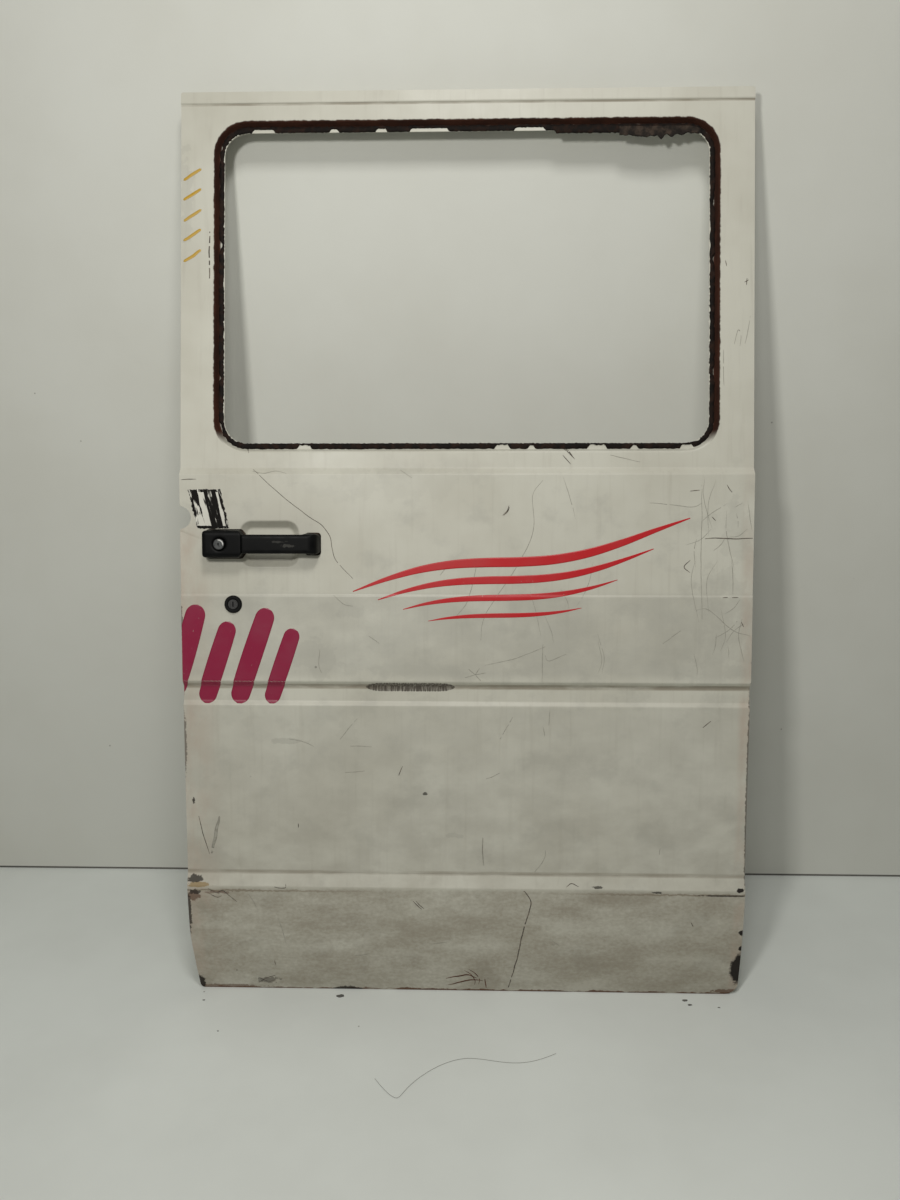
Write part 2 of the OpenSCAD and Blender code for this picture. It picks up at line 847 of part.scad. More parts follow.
// Handle
block_x0 = front_x + handle_x;
block_x1 = block_x0 + block_w;
handle_x1 = block_x0 + handle_w;
pad_y = panel_y - gasket_t;
front_y = pad_y - handle_d;
counterbore_r = button_r + 2.6;
counterbore_d = 1.5;

// Front view of the block with a splayed side where the bar leaves it
function block_front(inset) = round_loop([
    [block_x0 + inset, handle_z - block_h / 2 + inset],
    [block_x1 - inset, handle_z - block_h / 2 + inset],
    [block_x1 + 6 - inset, handle_z - bar_h / 2 + inset],
    [block_x1 + 6 - inset, handle_z + bar_h / 2 - inset],
    [block_x1 - inset, handle_z + block_h / 2 - inset],
    [block_x0 + inset, handle_z + block_h / 2 - inset]
], [10, 6, 2, 2, 6, 10], small_n);

module handle_block() set_on_mount() color(black_plastic) {
    difference() {
        intersection() {
            along_y(front_y, pad_y) polygon(block_front(0));
            along_z(handle_z - block_h, handle_z + block_h) polygon(round_loop([
                [block_x0, pad_y],
                [block_x0 + 1, front_y],
                [block_x1 + 6, front_y],
                [block_x1 + 6, pad_y]
            ], [0.5, 7, 0.5, 0.5], small_n));
            along_x(block_x0 - 1, block_x1 + 7) polygon(round_loop([
                [pad_y, handle_z - block_h / 2],
                [pad_y, handle_z + block_h / 2],
                [front_y, handle_z + block_h / 2 - 1],
                [front_y, handle_z - block_h / 2 + 1]
            ], [0.5, 0.5, 7, 7], small_n));
        }
        difference() {
            along_y(front_y + block_wall, pad_y + 1) polygon(block_front(block_wall));
            disc(button_cx, handle_z, button_r + gap + 3, front_y, pad_y);
        }
        drill(button_cx, handle_z, button_r + gap, front_y - 1, pad_y + 1);
        drill(button_cx, handle_z, counterbore_r, front_y - 1, front_y + counterbore_d);
    }
}

// Plan view of the bar: straight along the front, swept back into the foot
module handle_bar() set_on_mount() color(black_plastic) {
    bar_x0 = block_x1 + 6;
    intersection() {
        along_z(handle_z - block_h, handle_z + block_h) polygon(round_loop([
            [bar_x0, front_y + 1],
            [bar_x0, front_y + 1 + bar_t],
            [handle_x1 - foot_w - 8, front_y + 1 + bar_t],
            [handle_x1 - foot_w, pad_y],
            [handle_x1, pad_y],
            [handle_x1 - 6, front_y + 1]
        ], [0.5, 0.5, 10, 1, 1, 16], small_n));
        along_y(front_y, pad_y) polygon(round_loop([
            [bar_x0 - 1, handle_z - bar_h / 2],
            [handle_x1 - foot_w + 6, handle_z - bar_h / 2],
            [handle_x1 - foot_w + 14, handle_z - foot_h / 2],
            [handle_x1, handle_z - foot_h / 2 + 3],
            [handle_x1, handle_z + foot_h / 2 - 2],
            [handle_x1 - foot_w + 2, handle_z + foot_h / 2],
            [handle_x1 - foot_w, handle_z + bar_h / 2],
            [bar_x0 - 1, handle_z + bar_h / 2]
        ], [0.5, 8, 8, 9, 8, 3, 3, 0.5], small_n));
        along_x(bar_x0 - 2, handle_x1 + 1) polygon(round_loop([
            [pad_y, handle_z - foot_h / 2],
            [pad_y, handle_z + foot_h / 2],
            [front_y + 1, handle_z + foot_h / 2 - 2],
            [front_y + 1, handle_z - foot_h / 2 + 2]
        ], [1, 1, 6, 6], small_n));
    }
}

module block_gasket() set_on_mount() color(rubber) {
    difference() {
        along_y(pad_y, panel_y) polygon(block_front(-1.5));
        drill(button_cx, handle_z, stem_hole_r, pad_y - 1, panel_y + 1);
    }
}

module foot_gasket() set_on_mount() color(rubber) {
    translate([handle_x1 - foot_w / 2, 0, handle_z]) along_y(pad_y, panel_y)
        polygon(round_rect(foot_w, foot_h + 2, 6, small_n));
}

// Push button with its stem
pressed_room = 6;
head_l = button_proud + handle_d - button_travel - pressed_room;
module push_button() set_on_mount() color(zinc) {
    difference() {
        disc(button_cx, handle_z, button_r, front_y - button_proud, front_y - button_proud + head_l);
        drill(button_cx, handle_z, button_r - 2.4, front_y - button_proud - 1, front_y - button_proud + 0.8);
    }
    disc(button_cx, handle_z, stem_r, front_y - button_proud + head_l - 1,
        front_y - button_proud + head_l + stem_l);
}

// Key lock under the handle
module lock_bezel() set_on_mount() color(black_plastic) {
    translate([lock_cx, under_y, lock_z]) rotate([90, 0, 0]) rotate_extrude()
        polygon([
            [barrel_r + gap, -22],
            [sleeve_r - 0.2, -22],
            [sleeve_r - 0.2, 0],
            [bezel_r, 0],
            [bezel_r, 1.5],
            [bezel_r - 2, bezel_h],
            [barrel_r + 2, bezel_h],
            [barrel_r + gap, bezel_h - 1.5]
        ]);
}

key_slot_w = 2;
key_slot_h = 9;
barrel_y0 = under_y - bezel_h + 1.5;
module lock_barrel() set_on_mount() color(zinc) {
    difference() {
        disc(lock_cx, lock_z, barrel_r, barrel_y0, barrel_y0 + barrel_l);
        translate([lock_cx - key_slot_w / 2, barrel_y0 - 1, lock_z - key_slot_h / 2])
            cube([key_slot_w, 13, key_slot_h]);
    }
}

module lock_tail() set_on_mount() color(zinc) {
    translate([0, barrel_y0 + barrel_l, 0]) along_y(0, 2.5) polygon(concat(
        arc([lock_cx, lock_z], 7, 180, 360, 2 * small_n),
        arc([lock_cx, lock_z + tail_l], 4, 0, 180, 2 * small_n)
    ));
}

module lock_clip() set_on_mount() color(zinc) {
    tube(lock_cx, lock_z, sleeve_r + 2, sleeve_r + 0.2, under_y + sheet_t, under_y + sheet_t + 2);
}

// Latch in the front edge
latch_z = handle_z - latch_drop;
latch_x0 = front_x + tray_in + sheet_t;
latch_y1 = inner_y - 2 * sheet_t - 5;
latch_y0 = latch_y1 - latch_d;
latch_yc = (latch_y0 + latch_y1) / 2;
mouth_h = 20;
module latch_mouth() {
    along_x(front_x - 1, latch_x0 + 1) translate([latch_yc, latch_z])
        polygon(round_rect(claw_t + 8, mouth_h, 4, small_n));
}

// Folded case: a plate against the edge's wall and two cheeks, open at the top and bottom
module latch_case() set_on_mount() color(zinc) {
    difference() {
        translate([latch_x0, latch_y0, latch_z - latch_h / 2]) cube([latch_w, latch_d, latch_h]);
        translate([latch_x0 + case_t, latch_y0 + case_t, latch_z - latch_h / 2 - 1])
            cube([latch_w, latch_d - 2 * case_t, latch_h + 2]);
        latch_mouth();
    }
}

pin_r = 4;
claw_r = 13;
claw_cx = latch_x0 + case_t + 15;
claw_cz = latch_z + 9;
pawl_cz = latch_z - 22;
jaw_w = 9;
jaw_y = [latch_yc - claw_t, latch_yc + claw_t];

// Round claw with a jaw that holds the striker pin behind the mouth
module latch_claw() set_on_mount() color(zinc) {
    difference() {
        disc(claw_cx, claw_cz, claw_r, latch_yc - claw_t / 2, latch_yc + claw_t / 2);
        drill(claw_cx, claw_cz, pin_r + gap, jaw_y[0], jaw_y[1]);
        translate([claw_cx - claw_r - 1, jaw_y[0], claw_cz - jaw_w]) rotate([0, 20, 0])
            cube([claw_r - 1, 2 * claw_t, jaw_w - 3]);
    }
}

// Pawl that catches the claw from below and is pulled by the rod
pawl_side = 8;
module latch_pawl() set_on_mount() color(zinc) {
    difference() {
        along_y(latch_yc - claw_t / 2, latch_yc + claw_t / 2) polygon(round_loop([
            [claw_cx - 7, pawl_cz - 7],
            [claw_cx + pawl_side, pawl_cz - 7],
            [claw_cx + pawl_side, pawl_cz + 12],
            [claw_cx + 2, pawl_cz + 16],
            [claw_cx - 7, pawl_cz + 6]
        ], [6, 3, 2, 1, 3], small_n));
        drill(claw_cx, pawl_cz, pin_r + gap, jaw_y[0], jaw_y[1]);
    }
}

module latch_pins() set_on_mount() color(zinc) {
    for (z = [pawl_cz, claw_cz])
        disc(claw_cx, z, pin_r, latch_y0 + case_t, latch_y1 - case_t);
}

// Rod from the pawl to the inner release
release_cx = front_x + release_x;
release_z = handle_z - release_drop;
release_pivot_x = release_cx - 24;
release_pin_r = 6;
crank_t = 3;
crank_y = inner_y - 2 * sheet_t - 6 - crank_t;
escutcheon_w = 120;
escutcheon_h = 62;
escutcheon_t = 7;
rod_z = pawl_cz + 2;
module release_rod() set_on_mount() color(zinc) {
    translate([claw_cx + pawl_side, latch_yc, rod_z]) rotate([0, 90, 0])
        cylinder(d = rod_dia, h = release_pivot_x - claw_cx - pawl_side);
    disc(release_pivot_x, rod_z, rod_dia / 2 + 1, latch_yc - rod_dia / 2 - 1.5, crank_y);
}

module release_escutcheon() set_on_mount() color(black_plastic) {
    difference() {
        face_hole(release_cx, release_z, escutcheon_w, escutcheon_h, 12, 0, inner_y, inner_y + escutcheon_t);
        face_hole(release_cx, release_z, escutcheon_w - 16, escutcheon_h - 16, 8, 0,
            inner_y + 2, inner_y + escutcheon_t + 1);
        drill(release_pivot_x, release_z, release_pin_r + gap, inner_y - 1, inner_y + escutcheon_t);
    }
}

// Lever on a pivot pin, with a crank behind the panel that pulls the rod
module release_lever() set_on_mount() color(black_plastic) {
    lever_y = inner_y + escutcheon_t + 1;
    disc(release_pivot_x, release_z, release_pin_r, crank_y + crank_t / 2, lever_y + 2);
    along_y(lever_y, lever_y + 6) polygon(round_loop([
        [release_pivot_x - 10, release_z - 9],
        [release_cx + 46, release_z - 6],
        [release_cx + 46, release_z + 6],
        [release_pivot_x - 10, release_z + 9]
    ], [5, 4, 4, 5], small_n));
    along_y(crank_y, crank_y + crank_t) polygon(concat(
        arc([release_pivot_x, release_z], release_pin_r + 3, 180, 360, 2 * small_n),
        arc([release_pivot_x, rod_z], rod_dia / 2 + 3, 0, 180, 2 * small_n)
    ));
}

// Mounting plates with the holes for the roller arms
arm_cx = front_x + arm_plate_x;
centre_cx = rear_x - centre_plate_x;
upper_cx = front_x + upper_plate_x;
rail_low = glass_low[1] + (window_zc + window_h / 2 + reveal_rim) * cos(lean) - frame_d * sin(lean);
upper_cz = (rail_low + door_h - tray_in) / 2;
centre_plate_z = crease_z - centre_plate_drop;

module arm_bolts(r, from, to) bolt_holes(arm_cx, arm_plate_z, arm_bolts_x, arm_bolts_z, r, from, to);
module centre_bolts(r, from, to)
    bolt_holes(centre_cx, centre_plate_z, centre_bolts_x, centre_bolts_z, r, from, to);
module upper_bolts(r, from, to) bolt_holes(upper_cx, upper_cz, upper_bolts_x, 0, r, from, to);

module lower_arm_plate() set_on_mount() color(zinc) {
    difference() {
        translate([arm_cx, 0, arm_plate_z]) along_y(inner_y, inner_y + plate_t)
            polygon(round_rect(arm_plate_w, arm_plate_h, 12, small_n));
        arm_bolts(bolt_r, inner_y - 1, inner_y + plate_t + 1);
    }
}

module centre_carriage_plate() set_on_mount() color(zinc) {
    difference() {
        translate([centre_cx, 0, centre_plate_z]) along_y(inner_y, inner_y + plate_t)
            polygon(round_rect(centre_plate_w, centre_plate_h, 12, small_n));
        centre_bolts(bolt_r, inner_y - 1, inner_y + plate_t + 1);
    }
}

// The upper plate is a wedge: flat on the leaning frame, upright where the roller bolts on
upper_plate_y = frame_y(upper_cz + upper_plate_h / 2) + plate_t;
module upper_roller_plate() set_on_mount() color(zinc) {
    difference() {
        intersection() {
            translate([upper_cx, 0, upper_cz]) along_y(0, upper_plate_y)
                polygon(round_rect(upper_plate_w, upper_plate_h, 6, small_n));
            along_x(upper_cx - upper_plate_w, upper_cx + upper_plate_w) polygon([
                [frame_y(upper_cz - upper_plate_h), upper_cz - upper_plate_h],
                [upper_plate_y + 1, upper_cz - upper_plate_h],
                [upper_plate_y + 1, upper_cz + upper_plate_h],
                [frame_y(upper_cz + upper_plate_h), upper_cz + upper_plate_h]
            ]);
        }
        upper_bolts(bolt_r, 0, back_y);
    }
}

// Guide wedges on the rear edge
wedge_y0 = inner_y - sheet_t - 32;
wedge_z = sill_z + wedge_rise;
module wedge(z) {
    along_z(z - wedge_h / 2, z + wedge_h / 2) polygon([
        [rear_x - tray_in, wedge_y0],
        [rear_x - tray_in + wedge_d, wedge_y0 + 5],
        [rear_x - tray_in + wedge_d, wedge_y0 + wedge_w - 5],
        [rear_x - tray_in, wedge_y0 + wedge_w]
    ]);
}

module guide_wedges() set_on_mount() color(black_plastic) {
    wedge(wedge_z);
    wedge(latch_z);
}

module rubber_plugs() set_on_mount() color(rubber) {
    for (x = plug_places) {
        disc(x, plug_z, plug_r, inner_y, inner_y + plug_flange_t);
        disc(x, plug_z, plug_hole_r - gap, inner_y - 2 * plug_flange_t, inner_y);
    }
}

outer_skin();
window_surround();
front_channel();
bottom_channel();
rear_channel();
inner_lower_panel();
inner_window_frame();
belt_beam();
mid_stiffener();
lower_stiffener();
window_sealant();
rubber_scrap();
handle_block();
handle_bar();
block_gasket();
foot_gasket();
push_button();
lock_bezel();
lock_barrel();
lock_tail();
lock_clip();
latch_case();
latch_claw();
latch_pawl();
latch_pins();
release_rod();
release_escutcheon();
release_lever();
lower_arm_plate();
centre_carriage_plate();
upper_roller_plate();
guide_wedges();
rubber_plugs();
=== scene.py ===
"""Looks of a used van side door: worn paint, torn window sealant, moulded handle, lock, latch and marks.

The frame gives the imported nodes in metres. Places typed here are door millimetres: x from the door's
middle, y into the vehicle and z up from the bottom edge. DoorPlan.at() turns them into metres.
"""

import logging
import math
import random
from dataclasses import dataclass
from enum import Enum
from functools import reduce
from typing import Sequence, Union

import bmesh
import bpy
from mathutils import Matrix, Vector, noise
from mathutils.bvhtree import BVHTree


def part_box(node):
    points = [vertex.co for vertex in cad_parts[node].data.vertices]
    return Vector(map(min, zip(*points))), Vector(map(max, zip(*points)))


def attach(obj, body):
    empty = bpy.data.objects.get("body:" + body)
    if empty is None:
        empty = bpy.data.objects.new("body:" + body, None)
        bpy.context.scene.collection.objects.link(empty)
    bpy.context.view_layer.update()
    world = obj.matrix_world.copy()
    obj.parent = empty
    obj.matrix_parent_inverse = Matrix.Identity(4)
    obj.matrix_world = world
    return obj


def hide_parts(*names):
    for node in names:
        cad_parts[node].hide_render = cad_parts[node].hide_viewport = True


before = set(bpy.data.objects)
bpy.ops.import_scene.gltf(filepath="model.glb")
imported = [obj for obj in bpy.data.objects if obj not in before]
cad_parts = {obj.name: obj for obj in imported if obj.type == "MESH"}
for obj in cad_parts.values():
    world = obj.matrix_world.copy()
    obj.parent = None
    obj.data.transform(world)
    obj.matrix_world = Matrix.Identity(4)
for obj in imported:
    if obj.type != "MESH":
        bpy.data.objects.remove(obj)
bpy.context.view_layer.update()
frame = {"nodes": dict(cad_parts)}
LOG = logging.getLogger("van_door")

Colour = tuple[float, float, float]
Point2 = tuple[float, float]
Socket = bpy.types.NodeSocket
Value = Union[Socket, float]
Tone = Union[Socket, Colour]
MM = 0.001


@dataclass(frozen=True)
class DoorPlan:
    """Sizes of the door that the looks are laid out on, in millimetres."""

    width: float = 1000.0
    origin: tuple[float, float, float] = (-350.0, 10.0, 92.0)
    pane_low: Point2 = (-44.0, 957.5)
    pane_top: Point2 = (-1.5, 1593.75)
    recess_gap_low: float = 25.5
    recess_gap_top: float = 27.0
    recess_w: float = 887.0
    recess_x: float = -0.5
    recess_r: float = 60.0
    recess_d: float = 10.0
    lip_w: float = 19.0
    joint_z: float = 968.0
    ridge_z: float = 543.0
    shoulder_z: float = 578.0
    crease_z: float = 735.0
    sill_z: float = 221.0

    @property
    def lean(self) -> float:
        """Angle of the window plane from upright, in radians."""
        return math.atan2(self.pane_top[0] - self.pane_low[0], self.pane_top[1] - self.pane_low[1])

    @property
    def recess_h(self) -> float:
        """Height of the window's recess along its plane."""
        return math.dist(self.pane_low, self.pane_top) - self.recess_gap_low - self.recess_gap_top

    @property
    def recess_up(self) -> float:
        """Distance of the recess's middle along the plane from its lower end."""
        return self.recess_gap_low + self.recess_h / 2

    def at(self, x: float, y: float, z: float) -> Vector:
        """Returns a point of the door, given in millimetres, in metres in the row frame."""
        return (Vector((x, y, z)) - Vector(self.origin)) * MM

    def on_pane(self, x: float, depth: float, up: float) -> Vector:
        """Returns a point of the window's own frame in metres in the row frame.

        Args:
            x: Millimetres from the recess's middle.
            depth: Millimetres behind the window plane.
            up: Millimetres from the recess's middle along the plane.

        Returns:
            The same point in the row frame.
        """
        rise = self.recess_up + up
        y = self.pane_low[0] + depth * math.cos(self.lean) + rise * math.sin(self.lean)
        z = self.pane_low[1] - depth * math.sin(self.lean) + rise * math.cos(self.lean)
        return self.at(self.recess_x + x, y, z)


PLAN = DoorPlan()


@dataclass(frozen=True)
class Spot:
    """Ragged mark: its middle, its half sizes, how strongly it covers and how torn its outline is."""

    x: float
    z: float
    half_x: float
    half_z: float
    cover: float = 1.0
    torn: float = 0.5


def opaque(colour: Tone) -> Union[Socket, tuple[float, ...]]:
    """Returns a colour with full opacity added, or the socket that gives it."""
    return (*colour, 1.0) if isinstance(colour, tuple) else colour


class ShaderGraph:
    """Adds and links the nodes of one material, with places read in door millimetres."""

    first_colour: int = 6
    second_colour: int = 7
    mixed_colour: int = 2

    def __init__(self, name: str) -> None:
        """Starts an empty material.

        Args:
            name: Name of the material.
        """
        self.material = bpy.data.materials.new(name)
        self.material.use_nodes = True
        self.tree = self.material.node_tree
        self.tree.nodes.clear()
        coords = self.node("TexCoord")
        self.place = self.vector("MULTIPLY_ADD", coords.outputs["Object"], (1 / MM,) * 3, PLAN.origin)
        self.x, self.y, self.z = self.node("SeparateXYZ", (self.place,)).outputs

    def node(self, kind: str, inputs: Union[dict, Sequence] = (), **settings: str) -> bpy.types.Node:
        """Adds a node, makes its settings and links or sets its sockets.

        Args:
            kind: Type of the node, without the words ShaderNode.
            inputs: Values by the sockets' names or numbers, or in their order. None leaves one as it is.
            settings: The node's own properties.

        Returns:
            The new node.
        """
        made = self.tree.nodes.new("ShaderNode" + kind)
        for key, value in settings.items():
            setattr(made, key, value)
        for key, value in inputs.items() if isinstance(inputs, dict) else enumerate(inputs):
            if isinstance(value, Socket):
                self.tree.links.new(value, made.inputs[key])
            elif value is not None:
                made.inputs[key].default_value = value
        return made

    def vector(self, operation: str, *values: Union[Socket, Sequence[float]]) -> Socket:
        """Returns the vector that a Vector Math node makes of the values."""
        return self.node("VectorMath", values, operation=operation).outputs[0]

    def length(self, vector: Socket) -> Socket:
        """Returns the length of a vector."""
        return self.node("VectorMath", (vector,), operation="LENGTH").outputs["Value"]

    def math(self, operation: str, *values: Value) -> Socket:
        """Returns the number that a Math node makes of the values."""
        return self.node("Math", values, operation=operation).outputs[0]

    def add(self, *values: Value) -> Value:
        """Returns the sum of all values."""
        return reduce(lambda first, second: self.math("ADD", first, second), values)

    def times(self, *values: Value) -> Value:
        """Returns the product of all values."""
        return reduce(lambda first, second: self.math("MULTIPLY", first, second), values)

    def most(self, *values: Value) -> Value:
        """Returns the largest of the values."""
        return reduce(lambda first, second: self.math("MAXIMUM", first, second), values)

    def less(self, first: Value, second: Value) -> Socket:
        """Returns the first value less the second."""
        return self.math("SUBTRACT", first, second)

    def line(self, value: Value, factor: Value, offset: Value) -> Socket:
        """Returns the value times the factor, plus the offset."""
        return self.math("MULTIPLY_ADD", value, factor, offset)

    def noise(self, size: float, detail: float = 3.0, stretch: Sequence[float] = (1, 1, 1),
              seed: float = 0.0, place: Union[Socket, None] = None) -> Socket:
        """Returns soft noise between 0 and 1.

        Args:
            size: Size of its features in millimetres.
            detail: Number of finer layers.
            stretch: How many times longer the features are along x, y and z.
            seed: Shifts the pattern.
            place: Vector that it is read at, or None for door millimetres.

        Returns:
            The noise node's value.
        """
        scale = tuple(1.0 / (size * s) for s in stretch)
        spot = self.vector("MULTIPLY_ADD", place or self.place, scale, (seed, 1.7 * seed, -seed))
        inputs = {"Vector": spot, "Scale": 1.0, "Detail": detail, "Roughness": 0.6}
        return self.node("TexNoise", inputs).outputs[0]

    def patches(self, low: float, high: float, size: float, detail: float = 3.0,
                stretch: Sequence[float] = (1, 1, 1), seed: float = 0.0) -> Socket:
        """Returns a mask of the patches where noise rises from low to high, made as noise() makes it."""
        return self.step(self.noise(size, detail, stretch, seed), low, high)

    def cells(self, size: float, seed: float = 0.0) -> Socket:
        """Returns the distance to the nearest of scattered points, in units of the cells' size."""
        spot = self.vector("MULTIPLY_ADD", self.place, (1.0 / size,) * 3, (seed,) * 3)
        return self.node("TexVoronoi", {"Vector": spot, "Scale": 1.0}).outputs["Distance"]

    def step(self, value: Value, low: float, high: float) -> Socket:
        """Returns a smooth rise from 0 to 1.

        Args:
            value: What is compared.
            low: Where the rise starts, which lies above high for a fall towards larger values.
            high: Where it reaches 1.

        Returns:
            The risen value.
        """
        rising = high > low
        inputs = {"Value": value, "From Min": min(low, high), "From Max": max(low, high),
                  "To Min": float(not rising), "To Max": float(rising)}
        return self.node("MapRange", inputs, interpolation_type="SMOOTHSTEP").outputs[0]

    def band(self, value: Value, low: float, high: float, soft: float) -> Value:
        """Returns 1 between low and high, falling to 0 over the soft distance outside them."""
        return self.times(self.step(value, low - soft, low), self.step(value, high + soft, high))

    def spots(self, marks: Sequence[Spot], seed: float = 0.0, size: float = 6.0) -> Value:
        """Returns a mask of all the marks, with their outlines broken by noise.

        Args:
            marks: The marks.
            seed: Shifts the noise.
            size: Size of its features in millimetres.

        Returns:
            The strongest mark at each place.
        """
        ragged = self.line(self.noise(size, 6, seed=seed), 3.0, -1.5)
        masks = []
        for mark in marks:
            scale = (1.0 / mark.half_x, 0.0, 1.0 / mark.half_z)
            offset = (-mark.x / mark.half_x, 0.0, -mark.z / mark.half_z)
            reach = self.length(self.vector("MULTIPLY_ADD", self.place, scale, offset))
            masks.append(self.times(self.step(self.line(ragged, mark.torn, reach), 1.15, 0.85), mark.cover))
        return self.most(*masks)

    def blend(self, factor: Value, first: Tone, second: Tone) -> Socket:
        """Returns the colour that goes from first to second as the factor goes from 0 to 1."""
        tones = {self.first_colour: opaque(first), self.second_colour: opaque(second)}
        return self.node("Mix", {"Factor": factor, **tones}, data_type="RGBA").outputs[self.mixed_colour]

    def bump(self, height: Value, depth_mm: float, under: Union[Socket, None] = None) -> Socket:
        """Returns a normal that a height of 0 to 1 shapes by the given depth."""
        inputs = {"Strength": 1.0, "Distance": depth_mm * MM, "Height": height, "Normal": under}
        return self.node("Bump", inputs).outputs[0]

    def finish(self, colour: Tone, roughness: Value, metallic: Value = 0.0,
               normal: Union[Socket, None] = None, specular: Value = 0.5,
               one_sided: bool = False) -> bpy.types.Material:
        """Closes the graph with a principled surface.

        Args:
            colour: Base colour.
            roughness: Roughness.
            metallic: Share of metal.
            normal: Bumped normal.
            specular: Specular level.
            one_sided: True where the face is clear from behind.

        Returns:
            The material.
        """
        inputs = {"Base Color": opaque(colour), "Roughness": roughness, "Metallic": metallic,
                  "Normal": normal, "Specular IOR Level": specular}
        face = self.node("BsdfPrincipled", inputs).outputs[0]
        if one_sided:
            behind = self.node("NewGeometry").outputs["Backfacing"]
            clear = self.node("BsdfTransparent").outputs[0]
            face = self.node("MixShader", (behind, face, clear)).outputs[0]
        self.node("OutputMaterial", (face,))
        return self.material


@dataclass(frozen=True)
class OuterPaint:
    """Old off-white body paint with dirt, rust, chips, painted shade in its creases, and dark residue with
    painted shade on the walls of the window's recess.
    """

    clean: Colour = (0.585, 0.578, 0.502)
    aged: Colour = (0.515, 0.503, 0.428)
    haze: Colour = (0.36, 0.355, 0.31)
    # Dirt colour, which also paints the shade in the creases.
    dirt_and_crease_shade: Colour = (0.20, 0.165, 0.115)
    stain: Colour = (0.45, 0.37, 0.30)
    rust: Colour = (0.10, 0.04, 0.02)
    chip: Colour = (0.032, 0.028, 0.025)
    # Colours of the recess walls' residue, which also stand for the painted shade on those walls.
    residue_and_shade: Colour = (0.030, 0.014, 0.010)
    brown_residue_and_shade: Colour = (0.050, 0.020, 0.013)
    filler: Colour = (0.33, 0.24, 0.12)
    glue: Colour = (0.011, 0.010, 0.009)
    bare: Colour = (0.66, 0.65, 0.58)
    rub: Colour = (0.055, 0.044, 0.033)

    filled: Spot = Spot(-478, 210.5, 18, 4.5, 0.9, 0.8)
    top_line: Point2 = (1592.0, 1594.5)
    sill_fringe: Point2 = (204.0, 206.5)
    rub_middle: Point2 = (-96.0, 572.5)
    rub_half: Point2 = (80.0, 8.2)
    glue_middle: Point2 = (-439.0, 886.0)
    glue_slant: float = 0.22
    glue_across: Point2 = (-38.0, 18.0)
    glue_rise: Point2 = (852.0, 920.0)

    hazy: tuple[Spot, ...] = (
        Spot(-262, 622, 34, 30, 0.24, 1.2),
        Spot(-195, 706, 22, 12, 0.18, 1.2),
        Spot(-306, 474, 26, 6, 0.40, 1.2),
        Spot(-21, 304, 18, 5, 0.35, 1.2),
        Spot(-206, 497, 20, 24, 0.14, 1.2),
        Spot(452, 690, 40, 90, 0.16, 1.4),
        Spot(470, 850, 28, 50, 0.16, 1.4),
        Spot(440, 602, 46, 26, 0.18, 1.4),
        Spot(-492, 1430, 12, 80, 0.24, 1.2),
        Spot(150, 640, 60, 60, 0.12, 1.4),
        Spot(-120, 930, 120, 26, 0.10, 1.4),
        Spot(-20, 600, 150, 16, 0.14, 1.4),
    )
    chipped: tuple[Spot, ...] = (
        Spot(501, 54, 18, 31, 1.0, 0.25),
        Spot(491, 210, 6, 4),
        Spot(498, 128, 5, 5),
        Spot(499, 97, 4, 5),
        Spot(462, 200, 42, 1.6, 0.8, 0.7),
        Spot(500, 385, 2.6, 170, 0.7, 0.8),
        Spot(-500, 158, 5, 36, 0.85, 0.7),
        Spot(-491, 11, 10, 15, 0.95, 0.4),
        Spot(-499, 470, 3, 50, 0.6, 0.9),
        Spot(-500, 690, 3, 30, 0.6, 0.9),
        Spot(-487, 221, 14, 7, 0.85, 0.7),
        Spot(-215, 1, 24, 5, 0.9, 0.6),
        Spot(-486, 197, 10, 4, 0.8, 0.9),
        Spot(-70, 380, 4, 3, 0.8, 0.6),
        Spot(-486, 365, 3, 5, 0.9, 1.0),
        Spot(237, 213, 9, 2.5, 0.8, 1.0),
        Spot(344, 205, 8, 2.2, 0.8, 1.0),
        Spot(-362, 18, 18, 6, 0.5, 1.3),
    )
    rusty: tuple[Spot, ...] = (
        Spot(-489, 191, 12, 10, 0.8, 0.8),
        Spot(480, 6, 26, 4, 0.8, 0.7),
        Spot(-440, 4, 60, 3.2, 0.7, 0.8),
        Spot(-446, 197, 22, 3, 0.6, 1.0),
    )

    def material(self) -> bpy.types.Material:
        """Builds the finish, with its layers laid over the weathered paint in order.

        Returns:
            The material.
        """
        g = ShaderGraph("outer_paint")
        dirty, colour = self._weathered(g)
        rust = g.most(self._bottom_rust(g), g.spots(self.rusty, 26.0))
        chipped = g.most(g.spots(self.chipped, 25.0), self._specks(g))
        region, black = self._glue(g)
        # Dark sealant residue with painted shade on the walls of the window's recess.
        residue_and_shade = self._residue_and_shade(g)
        brown = g.blend(g.patches(0.35, 0.65, 20, 4, (3, 1, 3), 34.0), self.residue_and_shade, self.brown_residue_and_shade)
        layers = (
            (g.times(rust, 0.85), self.rust),
            (g.spots((self.filled,), 27.0), self.filler),
            (chipped, self.chip),
            (self._step_rub(g), self.rub),
            (region, self.bare),
            (black, self.glue),
            (residue_and_shade, brown),
        )
        for mask, tone in layers:
            colour = g.blend(mask, colour, tone)
        rough = g.line(g.noise(30, 4, seed=2.0), 0.16, 0.36)
        rough = g.most(rough, g.times(g.most(residue_and_shade, rust), 0.75), g.times(dirty, 1.5))
        waves = g.bump(g.noise(170, 1, (1.4, 1, 1), 14.0), 2.2)
        fine = g.bump(g.noise(2.2, 3, seed=9.0), 0.03, waves)
        shine = g.line(g.most(residue_and_shade, rust, chipped, black), -0.36, 0.40)
        return g.finish(colour, rough, 0.0, fine, shine)

